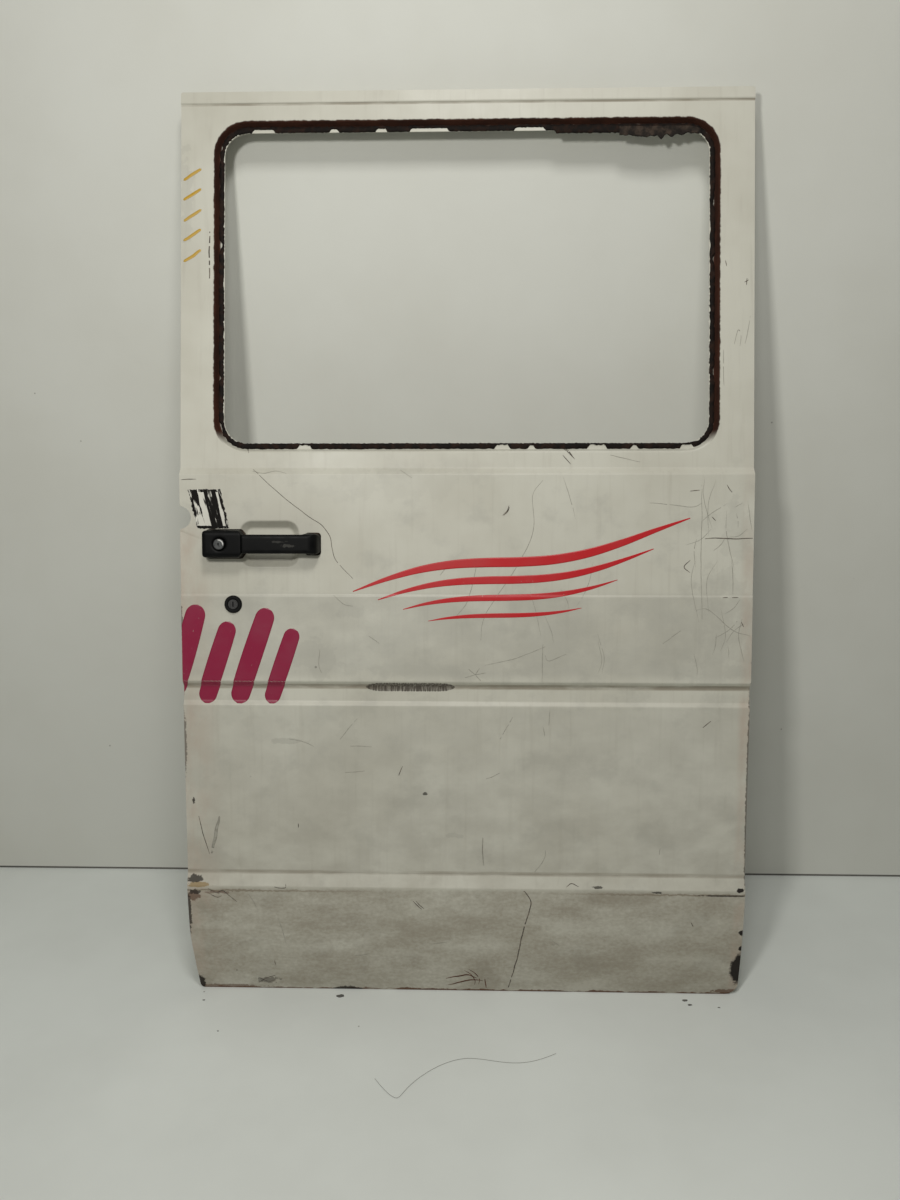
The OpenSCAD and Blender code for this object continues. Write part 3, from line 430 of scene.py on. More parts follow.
    def _weathered(self, g: ShaderGraph) -> tuple[Value, Socket]:
        """Ages the clean paint and paints shade into its creases.

        Args:
            g: The material's graph.

        Returns:
            The mask of the dirt low on the door, and the colour of the aged, dirty paint with its painted
            crease shade.
        """
        cloud = g.noise(45, 5, (1.6, 1, 1), 8.0)
        streaks = g.patches(0.5, 0.8, 9, 4, (1, 1, 22), 3.0)
        scuffs = g.times(g.patches(0.50, 0.70, 55, 5, (1.2, 1, 1), 13.0), g.step(g.z, 1050.0, 900.0))
        waist = g.times(g.band(g.z, 600.0, PLAN.crease_z - 7, 16.0), g.step(cloud, 0.1, 0.7), 0.46)
        panel = g.times(g.band(g.z, PLAN.sill_z + 14, PLAN.ridge_z - 8, 6.0), g.step(cloud, 0.0, 0.8), 0.34)
        low = g.times(g.step(g.z, 640.0, 40.0), g.step(cloud, 0.30, 0.72), 0.26)
        broad, narrow = g.noise(55, 5, (2.6, 1, 1), 18.0), g.noise(5, 3, (1.5, 1, 1), 15.0)
        smear = g.add(g.times(broad, 0.8), g.times(narrow, 0.35))
        below = g.step(g.z, PLAN.sill_z - 8, PLAN.sill_z - 20)
        dirty = g.most(low, g.times(below, g.step(smear, 0.22, 0.80), 0.66))
        patchy = g.patches(0.3, 0.7, 38, 5, (1, 1, 2), 5.0)
        left = g.times(g.step(g.x, -425.0, -498.0), g.step(g.z, 890.0, 830.0), patchy)
        right = g.times(g.step(g.x, 476.0, 490.0), g.step(g.z, 1100.0, 600.0), patchy)
        layers = (
            (g.times(streaks, 0.12), self.dirt_and_crease_shade),
            (g.times(scuffs, 0.30), self.haze),
            (g.most(waist, panel), self.haze),
            (g.spots(self.hazy, 28.0, 24.0), self.haze),
            (dirty, self.dirt_and_crease_shade),
            (g.times(g.most(left, right), 0.7), self.stain),
            # Painted shade in the creases, with the dirt fringe under the sill.
            (g.times(self._crease_shade_and_dirt(g), 0.7), self.dirt_and_crease_shade),
        )
        colour = g.blend(g.patches(0.38, 0.68, 260, 4), self.clean, self.aged)
        for mask, tone in layers:
            colour = g.blend(mask, colour, tone)
        return dirty, colour

    def _specks(self, g: ShaderGraph) -> Value:
        """Returns a mask of few small chips."""
        return g.times(g.step(g.cells(62, 2.0), 0.045, 0.03), g.patches(0.50, 0.62, 160, 3, seed=4.0), 0.8)

    def _bottom_rust(self, g: ShaderGraph) -> Value:
        """Finds the thin, broken rust line along the bottom edge.

        Args:
            g: The material's graph.

        Returns:
            The line's mask.
        """
        ragged = g.line(g.noise(11, 6, (2, 1, 1), 11.0), -16.0, g.z)
        breaks = g.patches(0.30, 0.45, 90, 3, seed=12.0)
        return g.times(g.step(ragged, -4.6, -6.4), g.step(g.z, 12.0, 9.0), breaks)

    def _crease_shade_and_dirt(self, g: ShaderGraph) -> Value:
        """Finds the painted shade in the pressed creases and the dirt under the sill.

        Args:
            g: The material's graph.

        Returns:
            The mask of the painted shade lines and of the dirt fringe under the sill.
        """
        breaks = g.patches(0.25, 0.6, 120, 4, (1, 1, 0.2), 17.0)
        # Painted shade: dark lines in the shoulder crease, above the sill crease and under the top edge,
        # broken by noise.
        crease_shade = g.most(
            g.band(g.z, PLAN.shoulder_z - 8, PLAN.shoulder_z - 2, 3.0),
            g.times(g.band(g.z, PLAN.sill_z + 11, PLAN.sill_z + 15, 3.0), 0.7),
            g.band(g.z, *self.top_line, 1.2),
        )
        under = g.line(g.noise(8, 6, seed=16.0), 9.0, g.z)
        fringe = g.times(g.band(under, *self.sill_fringe, 0.8), g.step(g.math("ABSOLUTE", g.x), 60.0, 420.0))
        return g.most(g.times(crease_shade, breaks), fringe)

    def _step_rub(self, g: ShaderGraph) -> Value:
        """Finds the hatched dark rub on the pressed step, which is pointed at both ends.

        Args:
            g: The material's graph.

        Returns:
            The rub's mask.
        """
        half_x, half_z = self.rub_half
        along = g.math("ABSOLUTE", g.line(g.x, 1 / half_x, -self.rub_middle[0] / half_x))
        taper = g.less(1.0, g.math("POWER", along, 9.0))
        off = g.math("ABSOLUTE", g.less(g.z, self.rub_middle[1]))
        off = g.math("DIVIDE", off, g.line(taper, half_z, 0.01))
        hatch = g.patches(0.34, 0.60, 2.6, 4, (1, 1, 7), 19.0)
        inside = g.times(g.step(g.line(hatch, -0.12, off), 0.95, 0.80), g.step(along, 1.0, 0.97))
        return g.times(inside, g.line(hatch, 0.45, 0.50))

    def _glue(self, g: ShaderGraph) -> tuple[Value, Value]:
        """Finds the scraped place beside the handle.

        Args:
            g: The material's graph.

        Returns:
            The place's mask, and the mask of the black glue left on it.
        """
        middle_x, middle_z = self.glue_middle
        leaning = g.line(g.z, self.glue_slant, g.add(g.x, -middle_x - self.glue_slant * middle_z))
        ragged = g.less(g.noise(5.0, 6, seed=102.0), 0.5)
        side, rise = g.line(ragged, 9.0, leaning), g.line(ragged, 7.0, g.z)
        region = g.times(g.band(side, *self.glue_across, 0.8), g.band(rise, *self.glue_rise, 0.8))
        place = g.node("CombineXYZ", {0: leaning, 2: g.z}).outputs[0]
        strokes = g.noise(4.5, 4, (1, 1, 7), 101.0, place)
        low, high = self.glue_rise
        fields = (
            g.times(g.band(leaning, -11.0, 8.0, 3.0), 0.50),
            g.times(g.band(leaning, -42.0, -24.0, 5.0), g.step(g.z, low + 10, low + 28), 0.44),
            g.times(g.band(leaning, 14.0, 22.0, 2.5), 0.48),
            g.times(g.band(g.z, low - 4, low + 4, 2.0), 0.50),
            g.times(g.band(g.z, high - 4, high + 4, 2.0), 0.42),
        )
        level = g.add(g.most(0.20, *fields), strokes)
        return region, g.times(region, g.step(level, 0.83, 0.90))

    def _residue_and_shade(self, g: ShaderGraph) -> Value:
        """Finds the dark residue and the painted shade on the walls of the window's recess.

        Args:
            g: The material's graph.

        Returns:
            The mask of the ring, which follows the distance from the recess's rounded rim.
        """
        up = g.math("DIVIDE", g.less(g.z, PLAN.pane_low[1]), math.cos(PLAN.lean))
        across = g.math("ABSOLUTE", g.less(g.x, PLAN.recess_x))
        along = g.math("ABSOLUTE", g.less(up, PLAN.recess_up))
        dx = g.less(across, PLAN.recess_w / 2 - PLAN.recess_r)
        dz = g.less(along, PLAN.recess_h / 2 - PLAN.recess_r)
        out_x, out_z = g.most(dx, 0.0), g.most(dz, 0.0)
        corner = g.math("SQRT", g.add(g.times(out_x, out_x), g.times(out_z, out_z)))
        inner = g.math("MINIMUM", g.most(dx, dz), 0.0)
        distance = g.less(g.add(corner, inner), PLAN.recess_r)
        ragged = g.add(distance, g.times(g.less(g.noise(9, 5, seed=31.0), 0.5), 5.0))
        # The lower wall faces up into the light and is left clean; the top and side walls get residue and
        # painted shade.
        above = g.step(up, PLAN.recess_gap_low + 12.0, PLAN.recess_gap_low + 42.0)
        return g.times(g.step(ragged, -0.6, -2.8), g.step(ragged, -14.0, -10.0), above)


@dataclass(frozen=True)
class InnerPaint:
    """Thinner paint of the inner sheets, with dust, run marks and rust at the flanges."""

    clean: Colour = (0.56, 0.55, 0.48)
    dust: Colour = (0.36, 0.32, 0.25)
    rust: Colour = (0.16, 0.07, 0.035)

    def material(self) -> bpy.types.Material:
        """Builds the finish.

        Returns:
            The material.
        """
        g = ShaderGraph("inner_paint")
        colour = g.blend(g.times(g.patches(0.35, 0.7, 150, 5, seed=41.0), 0.6), self.clean, self.dust)
        runs = g.patches(0.55, 0.78, 12, 4, (1, 1, 16), 43.0)
        colour = g.blend(g.times(runs, 0.3), colour, self.dust)
        side = g.step(g.math("ABSOLUTE", g.x), PLAN.width / 2 - 34, PLAN.width / 2 - 14)
        rust = g.times(g.most(side, g.step(g.z, 70.0, 10.0)), g.patches(0.54, 0.62, 16, 6, seed=45.0))
        colour = g.blend(g.times(rust, 0.75), colour, self.rust)
        waves = g.bump(g.noise(140, 1, seed=47.0), 1.2)
        rough = g.line(g.noise(25, 4, seed=46.0), 0.2, 0.42)
        return g.finish(colour, rough, 0.0, g.bump(g.noise(2.5, 3, seed=48.0), 0.04, waves))


@dataclass(frozen=True)
class Plastic:
    """Black moulded plastic, grained, dusty in its corners and rubbed grey where hands touch it."""

    name: str = "black_plastic"
    colour: Colour = (0.0035, 0.0037, 0.0038)
    rubbed: Colour = (0.026, 0.026, 0.025)
    scuffed: Colour = (0.16, 0.155, 0.14)
    rub_from: float = 0.67
    rough: float = 0.38
    scuffs: tuple[Spot, ...] = (Spot(-303, 822, 11, 2.5, 0.25, 1.2), Spot(-322, 829, 14, 1.6, 0.2, 1.2))

    def material(self) -> bpy.types.Material:
        """Builds the finish.

        Returns:
            The material.
        """
        g = ShaderGraph(self.name)
        rub = g.patches(self.rub_from, self.rub_from + 0.1, 11, 6, (2.4, 1, 1), 51.0)
        haze = g.patches(0.4, 0.8, 26, 4, seed=52.0)
        colour = g.blend(g.times(haze, 0.10), self.colour, self.rubbed)
        colour = g.blend(g.times(rub, 0.5), colour, self.rubbed)
        colour = g.blend(g.spots(self.scuffs, 54.0), colour, self.scuffed)
        grain = g.bump(g.noise(0.8, 3, seed=53.0), 0.04)
        return g.finish(colour, g.line(haze, 0.2, self.rough), 0.0, grain, 0.10)


@dataclass(frozen=True)
class Rubber:
    """Aged matt rubber or cured sealant with a torn, dusty face."""

    name: str = "old_rubber"
    colour: Colour = (0.016, 0.013, 0.011)
    dust: Colour = (0.075, 0.055, 0.042)
    grain: float = 3.0

    def material(self) -> bpy.types.Material:
        """Builds the finish.

        Returns:
            The material.
        """
        g = ShaderGraph(self.name)
        dusty = g.patches(0.42, 0.7, 14, 6, seed=61.0)
        colour = g.blend(g.times(dusty, 0.8), self.colour, self.dust)
        grain = g.bump(g.noise(self.grain, 5, seed=62.0), 0.5)
        return g.finish(colour, g.line(dusty, 0.25, 0.6), 0.0, grain, 0.07)


@dataclass(frozen=True)
class Metal:
    """Plated or dulled metal with fine wear and dark spots."""

    name: str = "zinc"
    colour: Colour = (0.42, 0.42, 0.41)
    tarnish: Colour = (0.16, 0.13, 0.10)
    rough: float = 0.36
    spots_from: float = 0.55

    def material(self) -> bpy.types.Material:
        """Builds the finish.

        Returns:
            The material.
        """
        g = ShaderGraph(self.name)
        spots = g.patches(self.spots_from, self.spots_from + 0.14, 5, 6, seed=71.0)
        tone = g.blend(g.times(g.noise(20, 4, seed=72.0), 0.4), self.colour, self.tarnish)
        colour = g.blend(g.times(spots, 0.7), tone, self.tarnish)
        rough = g.add(g.times(spots, 0.3), g.times(g.noise(2, 3, (1, 1, 8), 73.0), 0.2), self.rough)
        return g.finish(colour, rough, g.line(spots, -0.6, 1.0), g.bump(g.noise(1.5, 4, seed=74.0), 0.04))


@dataclass(frozen=True)
class Film:
    """Thin printed vinyl, slightly faded, with worn flecks."""

    name: str
    colour: Colour
    faded: Colour
    fleck: Colour = (0.45, 0.40, 0.34)

    def material(self) -> bpy.types.Material:
        """Builds the finish, with the waves of the sheet under it.

        Returns:
            The material.
        """
        g = ShaderGraph(self.name)
        fade = g.patches(0.35, 0.75, 60, 5, seed=81.0)
        flecks = g.patches(0.70, 0.74, 3, 4, (1, 1, 2.5), 82.0)
        colour = g.blend(g.times(fade, 0.5), self.colour, self.faded)
        colour = g.blend(g.times(flecks, 0.6), colour, self.fleck)
        waves = g.bump(g.noise(170, 1, (1.4, 1, 1), 14.0), 2.2)
        return g.finish(colour, g.line(fade, 0.15, 0.32), 0.0, waves)


@dataclass(frozen=True)
class Smudge:
    """Matt mark on the paint, such as a scratch, a rub or a stain."""

    name: str
    colour: Colour
    second: Colour

    def material(self) -> bpy.types.Material:
        """Builds the finish.

        Returns:
            The material.
        """
        g = ShaderGraph(self.name)
        colour = g.blend(g.patches(0.4, 0.62, 7, 4, seed=91.0), self.colour, self.second)
        return g.finish(colour, 0.62, 0.0, g.bump(g.noise(1.5, 3, seed=92.0), 0.06), 0.3)


@dataclass(frozen=True)
class ButtonFace:
    """Dulled cap with a dark rim, a painted highlight arc at its upper right and a small dark hole."""

    colour: Colour = (0.10, 0.105, 0.105)
    dark: Colour = (0.012, 0.012, 0.012)
    painted_highlight: Colour = (0.62, 0.62, 0.60)
    radius: float = 10.0

    def material(self, x: float, z: float) -> bpy.types.Material:
        """Builds the finish.

        Args:
            x: Middle of the cap in door millimetres.
            z: Height of its middle in door millimetres.

        Returns:
            The material.
        """
        g = ShaderGraph("button_cap")
        reach = g.length(g.vector("MULTIPLY_ADD", g.place, (1.0, 0.0, 1.0), (-x, 0.0, -z)))
        side = g.add(g.less(g.x, x), g.less(g.z, z))
        # Painted highlight: a bright arc on the cap's upper right, where a lamp's glint would fall.
        highlight_arc = g.times(g.band(reach, self.radius * 0.62, self.radius * 0.78, 0.7), g.step(side, 3.0, 8.0))
        rim = g.step(reach, self.radius * 0.84, self.radius * 0.92)
        hole = g.spots((Spot(x - 1.0, z, 1.6, 2.6, 1.0, 0.1),), 76.0)
        colour = g.blend(g.times(g.patches(0.5, 0.66, 4, 6, seed=75.0), 0.6), self.colour, self.dark)
        for mask, tone in ((highlight_arc, self.painted_highlight), (rim, self.dark), (hole, self.dark)):
            colour = g.blend(mask, colour, tone)
        return g.finish(colour, 0.34, 0.6, g.bump(g.noise(1.5, 4, seed=77.0), 0.04), 0.3)


@dataclass(frozen=True)
class PlainWall:
    """Pale painted surface of the room, clear from behind so that every side of the door can be seen."""

    name: str
    colour: Colour
    second: Colour
    rough: float
    speck: Colour = (0.12, 0.10, 0.08)

    def material(self) -> bpy.types.Material:
        """Builds the finish.

        Returns:
            The material.
        """
        g = ShaderGraph(self.name)
        colour = g.blend(g.patches(0.3, 0.75, 420, 4, seed=111.0), self.colour, self.second)
        specks = g.times(g.step(g.cells(95, 5.0), 0.022, 0.012), 0.6)
        grain = g.bump(g.noise(3, 3, seed=112.0), 0.08)
        return g.finish(g.blend(specks, colour, self.speck), self.rough, 0.0, grain, 0.4, one_sided=True)


class Body(Enum):
    """Bodies of the frame that a piece can ride on."""

    DOOR = "door"
    BUTTON = "button"
    KEY = "key_barrel"


def smooth(mesh: bpy.types.Mesh, angle: float = 32.0) -> None:
    """Shades the mesh smooth, with edges sharper than the angle in degrees kept."""
    mesh.shade_smooth()
    mesh.set_sharp_from_angle(angle=math.radians(angle))


def mesh_of(name: str, shape: bmesh.types.BMesh, angle: float = 32.0) -> bpy.types.Mesh:
    """Turns a shape, which is used up, into a smoothly shaded mesh.

    Args:
        name: Name of the mesh.
        shape: Its faces.
        angle: Degrees from which an edge stays sharp.

    Returns:
        The mesh.
    """
    mesh = bpy.data.meshes.new(name)
    shape.to_mesh(mesh)
    shape.free()
    smooth(mesh, angle)
    return mesh


def new_object(name: str, mesh: bpy.types.Mesh, material: bpy.types.Material) -> bpy.types.Object:
    """Puts a mesh into the scene.

    Args:
        name: Name of the object.
        mesh: What it shows.
        material: Its only finish.

    Returns:
        The object, unturned at the origin.
    """
    mesh.materials.clear()
    mesh.materials.append(material)
    made = bpy.data.objects.new(name, mesh)
    bpy.context.scene.collection.objects.link(made)
    return made


def modify(piece: bpy.types.Object, kind: str,
           **settings: Union[str, float, bpy.types.NodeTree]) -> bpy.types.Modifier:
    """Adds a modifier to a piece.

    Args:
        piece: The piece.
        kind: Type of the modifier.
        settings: The modifier's own properties.

    Returns:
        The modifier.
    """
    modifier = piece.modifiers.new(kind.lower(), kind)
    for key, value in settings.items():
        setattr(modifier, key, value)
    return modifier


def plain_mesh(source: bpy.types.Object) -> bpy.types.Mesh:
    """Returns what an object shows, with its modifiers or its bevel made into faces."""
    bpy.context.view_layer.update()
    return bpy.data.meshes.new_from_object(source.evaluated_get(bpy.context.evaluated_depsgraph_get()))


def bake(piece: bpy.types.Object) -> None:
    """Turns a piece's modifiers into plain mesh.

    Args:
        piece: The piece.
    """
    mesh = plain_mesh(piece)
    piece.modifiers.clear()
    piece.data = mesh


class SurfaceProbe:
    """Finds the painted face of the door, seen from start_y millimetres, within a reach in metres."""

    start_y: float = -400.0
    reach: float = 0.5

    def __init__(self, mesh: bpy.types.Mesh) -> None:
        """Keeps the faces to look on.

        Args:
            mesh: The outer skin in metres in the row frame.
        """
        points = [v.co.copy() for v in mesh.vertices]
        self.tree = BVHTree.FromPolygons(points, [list(p.vertices) for p in mesh.polygons])

    def lay(self, x: float, z: float, lift: float) -> Vector | None:
        """Finds a point just off the skin.

        Args:
            x: Millimetres from the door's middle.
            z: Millimetres from the bottom edge.
            lift: Millimetres that the point stands off the face.

        Returns:
            The point in the row frame, or None where there is no skin.
        """
        start = PLAN.at(x, self.start_y, z)
        hit, normal, _, _ = self.tree.ray_cast(start, Vector((0, 1, 0)), self.reach)
        if hit is None:
            return None
        facing = normal if normal.y < 0 else -normal
        return hit + facing * lift * MM


class CadCopies:
    """Merged, smoothly shaded copies that stand for the frame's own nodes."""

    weld: float = 0.01 * MM
    on_seam: float = 0.02 * MM
    sharp: float = 32.0

    def __init__(self, nodes: dict[str, bpy.types.Object]) -> None:
        """Keeps the frame's nodes.

        Args:
            nodes: Node names and their objects.
        """
        self.nodes = nodes

    def merged(self, *names: str) -> bmesh.types.BMesh:
        """Joins nodes into one closed shape.

        Args:
            names: The nodes. Several meet at the window frame's joint, where their end faces go.

        Returns:
            The shape, with its loose triangles joined and its faces outward.
        """
        shape = bmesh.new()
        for name in names:
            shape.from_mesh(self.nodes[name].data)
        bmesh.ops.remove_doubles(shape, verts=shape.verts, dist=self.weld)
        if len(names) > 1:
            seam = PLAN.at(0, 0, PLAN.joint_z).z
            ends = [f for f in shape.faces if all(abs(v.co.z - seam) < self.on_seam for v in f.verts)]
            bmesh.ops.delete(shape, geom=ends, context="FACES")
        bmesh.ops.recalc_face_normals(shape, faces=shape.faces)
        return shape

    def dress(self, piece: str, material: bpy.types.Material, body: Body, *names: str, slot: str,
              bevel: float = 0.0, melt: float = 0.0) -> bpy.types.Object:
        """Makes a piece that stands for the nodes.

        Args:
            piece: Name of the piece.
            material: Its finish.
            body: Body that it rides on.
            names: Nodes that it stands for.
            slot: Material slot of the record; not used.
            bevel: Width in millimetres that its sharp edges are broken by.
            melt: Size in millimetres of the even faces that it is rebuilt of and eased with, or 0.

        Returns:
            The finished piece.
        """
        made = new_object(piece, mesh_of(piece, self.merged(*names), self.sharp), material)
        if melt:
            modify(made, "REMESH", mode="VOXEL", voxel_size=melt * MM, use_smooth_shade=True)
            modify(made, "SMOOTH", factor=0.5, iterations=20)
        if bevel:
            modify(made, "BEVEL", width=bevel * MM, segments=3, limit_method="ANGLE",
                   angle_limit=math.radians(self.sharp))
        modify(made, "WEIGHTED_NORMAL", mode="FACE_AREA", keep_sharp=True)
        bake(made)
        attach(made, body.value)
        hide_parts(*names)
        LOG.info("%s stands for %s", piece, ", ".join(names))
        return made


@dataclass(frozen=True)
class SealantRing:
    """Torn sealant on the window's lip, with places where it has come off down to the paint."""

    step: float = 3.0
    outer: float = 8.8
    inner: float = 19.4
    thinnest: float = 1.2
    thick: float = 3.0
    seed: int = 7
    section: tuple[Point2, ...] = (
        (0.0, 0.15), (0.12, 0.75), (0.38, 1.0), (0.68, 0.9), (0.9, 0.7), (1.0, 0.1),
    )
    bare_below: tuple[Point2, ...] = ((-282, 10), (66, 11), (117, 4), (231, 15), (296, 4), (388, 11))
    bare_above: tuple[Point2, ...] = ((-356, 18), (-231, 6), (-148, 8), (-64, 32), (112, 25))
    hanging: Point2 = (158.0, 300.0)

    def rim(self) -> list[tuple[float, float, float, float]]:
        """Follows the recess's rim, from corner to corner.

        Returns:
            Points in even steps, as x, up and their outward direction.
        """
        half_w, half_h, r = PLAN.recess_w / 2, PLAN.recess_h / 2, PLAN.recess_r
        loop: list[tuple[float, float, float, float]] = []
        corners = [(1, 1, 0), (-1, 1, 90), (-1, -1, 180), (1, -1, 270)]
        turns = max(2, round(math.radians(90) * r / self.step))
        for (sx, sz, start), (next_x, next_z, _) in zip(corners, corners[1:] + corners[:1]):
            cx, cz = sx * (half_w - r), sz * (half_h - r)
            for k in range(turns):
                a = math.radians(start + 90 * k / turns)
                loop.append((cx + r * math.cos(a), cz + r * math.sin(a), math.cos(a), math.sin(a)))
            a = math.radians(start + 90)
            nx, nz = math.cos(a), math.sin(a)
            bx, bz = cx + r * nx, cz + r * nz
            ex, ez = next_x * (half_w - r) + r * nx, next_z * (half_h - r) + r * nz
            runs = max(2, round(math.hypot(ex - bx, ez - bz) / self.step))
            loop += [(bx + (ex - bx) * k / runs, bz + (ez - bz) * k / runs, nx, nz) for k in range(runs)]
        return loop

    @staticmethod
    def torn(places: Sequence[Point2], x: float) -> float:
        """Returns how far the sealant is gone at x, from 0 to 1."""
        return max(min(1.0, max(0.0, (half + 3.0 - abs(x - middle)) / 4.0)) for middle, half in places)

    def limits(self, x: float, z: float, nz: float) -> Point2:
        """Finds the torn band's edges at a point of the rim.

        Args:
            x: Millimetres from the recess's middle.
            z: Millimetres from its middle along the plane.
            nz: Upward part of the rim's outward direction.

        Returns:
            How far the outer and the inner edge lie inside the rim.
        """
        spot = Vector((x * 0.02, z * 0.02, self.seed))
        inner = self.inner + noise.noise(spot * 14) * 1.3 + noise.noise(spot * 34) * 0.8
        outer = self.outer + noise.noise(spot * 9 + Vector((5, 5, 5))) * 2.2
        if nz < -0.9:
            outer += 7.5 * self.torn(self.bare_below, x)
        elif nz > 0.9:
            inner -= 6.0 * self.torn(self.bare_above, x)
            if self.hanging[0] < x < self.hanging[1]:
                inner += 5.0 + 2.5 * noise.noise(spot * 20.0)
        else:
            inner -= 1.2 + 2.6 * max(0.0, noise.noise(spot * 5.0))
            outer += 7.0 * max(0.0, noise.noise(spot * 3.1 + Vector((9, 0, 0))) - 0.12)
        return outer, max(inner, outer + self.thinnest)

    def build(self, material: bpy.types.Material) -> None:
        """Makes the ring as a closed band of uneven width and thickness.

        Args:
            material: Its finish.
        """
        shape = bmesh.new()
        rows = []
        for x, z, nx, nz in self.rim():
            outer, inner = self.limits(x, z, nz)
            profile = []
            for share, height in self.section:
                lump = 0.65 + 0.7 * abs(noise.noise(Vector((x * 0.12, z * 0.12, share * 4 + self.seed))))
                profile.append((share, PLAN.recess_d - self.thick * height * lump))
            profile += [(share, PLAN.recess_d + 0.05) for share, _ in reversed(self.section)]
            row = []
            for share, depth in profile:
                inset = outer + (inner - outer) * share
                row.append(shape.verts.new(PLAN.on_pane(x - nx * inset, depth, z - nz * inset)))
            rows.append(row)
        for row, following in zip(rows, rows[1:] + rows[:1]):
            for k in range(len(row)):
                m = (k + 1) % len(row)
                shape.faces.new((row[k], row[m], following[m], following[k]))
        bmesh.ops.recalc_face_normals(shape, faces=shape.faces)
        made = new_object("sealant_ring", mesh_of("sealant_ring", shape, 50.0), material)
        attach(made, Body.DOOR.value)
        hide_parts("window_sealant")
        LOG.info("sealant_ring has %d rows", len(rows))


@dataclass(frozen=True)
class RubberScrap:
    """Torn end of a rubber seal that still hangs from the window's top edge."""

    x0: float = 268.0
    x1: float = 408.0
    over_lip: float = 4.0
    drop: float = 19.0
    thick: float = 3.4
    seed: int = 3
    columns: int = 44
    layers: int = 6

    def column(self, x: float, share: float) -> list[Point2]:
        """Shapes one column of the strip, from its top edge down to its torn end.

        Args:
            x: Millimetres from the recess's middle.
            share: Place of the column along the strip, from 0 to 1.

        Returns:
            Depth of the back face and height at each layer, in the window's own frame.
        """
        swell = 0.35 + 0.65 * math.sin(math.pi * min(1.0, 0.15 + 0.85 * share)) ** 0.7
        rag = 0.5 + 0.5 * noise.noise(Vector((x * 0.11, self.seed, 0.0)))
        depth = self.drop * swell * (0.55 + 0.75 * rag)
        corner = max(0.0, x - (PLAN.recess_w / 2 - PLAN.recess_r))
        edge = PLAN.recess_h / 2 - PLAN.lip_w + self.over_lip
        edge -= PLAN.recess_r - math.sqrt(max(1.0, PLAN.recess_r ** 2 - corner ** 2))
        places = []
        for k in range(self.layers + 1):
            up = edge - depth * k / self.layers
            lump = noise.noise(Vector((x * 0.09, up * 0.15, 4.0))) * 1.6
            places.append((PLAN.recess_d - 1.0 - lump, up))
        return places

    def build(self, material: bpy.types.Material) -> None:
        """Makes the scrap as a closed ragged strip.

        Args:
            material: Its finish.
        """
        shape = bmesh.new()
        sheets = []
        for thick in (self.thick, 0.0):
            grid = []
            for i in range(self.columns + 1):
                share = i / self.columns
                x = self.x0 + (self.x1 - self.x0) * share
                grid.append([shape.verts.new(PLAN.on_pane(x, out - thick, up))
                             for out, up in self.column(x, share)])
            sheets.append(grid)
        front, back = sheets
        for i in range(self.columns):
            for k in range(self.layers):
                shape.faces.new((front[i][k], front[i + 1][k], front[i + 1][k + 1], front[i][k + 1]))
                shape.faces.new((back[i][k], back[i][k + 1], back[i + 1][k + 1], back[i + 1][k]))
            for k in (0, self.layers):
                shape.faces.new((front[i][k], front[i + 1][k], back[i + 1][k], back[i][k]))
        for i in (0, self.columns):
            for k in range(self.layers):
                shape.faces.new((front[i][k], front[i][k + 1], back[i][k + 1], back[i][k]))
        bmesh.ops.recalc_face_normals(shape, faces=shape.faces)
        made = new_object("torn_rubber", mesh_of("torn_rubber", shape, 45.0), material)
        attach(made, Body.DOOR.value)
        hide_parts("rubber_scrap")


@dataclass(frozen=True)
class Stroke:
    """Line drawn on the skin: points of its middle line and its width along them."""

    points: tuple[Point2, ...]
    width: float
    taper: float = 1.0
    gaps: float = 0.0
    wobble: float = 0.0
    round_ends: bool = False

    def width_at(self, share: float, length: float) -> float:
        """Finds the width, which narrows towards both ends by the taper.

        Args:
            share: Place along the stroke, from 0 to 1.
            length: Length of the stroke in millimetres, for its round ends.

        Returns:
            The width in millimetres.
        """
        width = self.width * (1.0 - self.taper * abs(2.0 * share - 1.0) ** 2.2)
        if not self.round_ends:
            return width
        left = max(0.0, 1.0 - min(share, 1.0 - share) * length / (self.width / 2))
        return width * math.sqrt(max(0.0006, 1.0 - left * left))


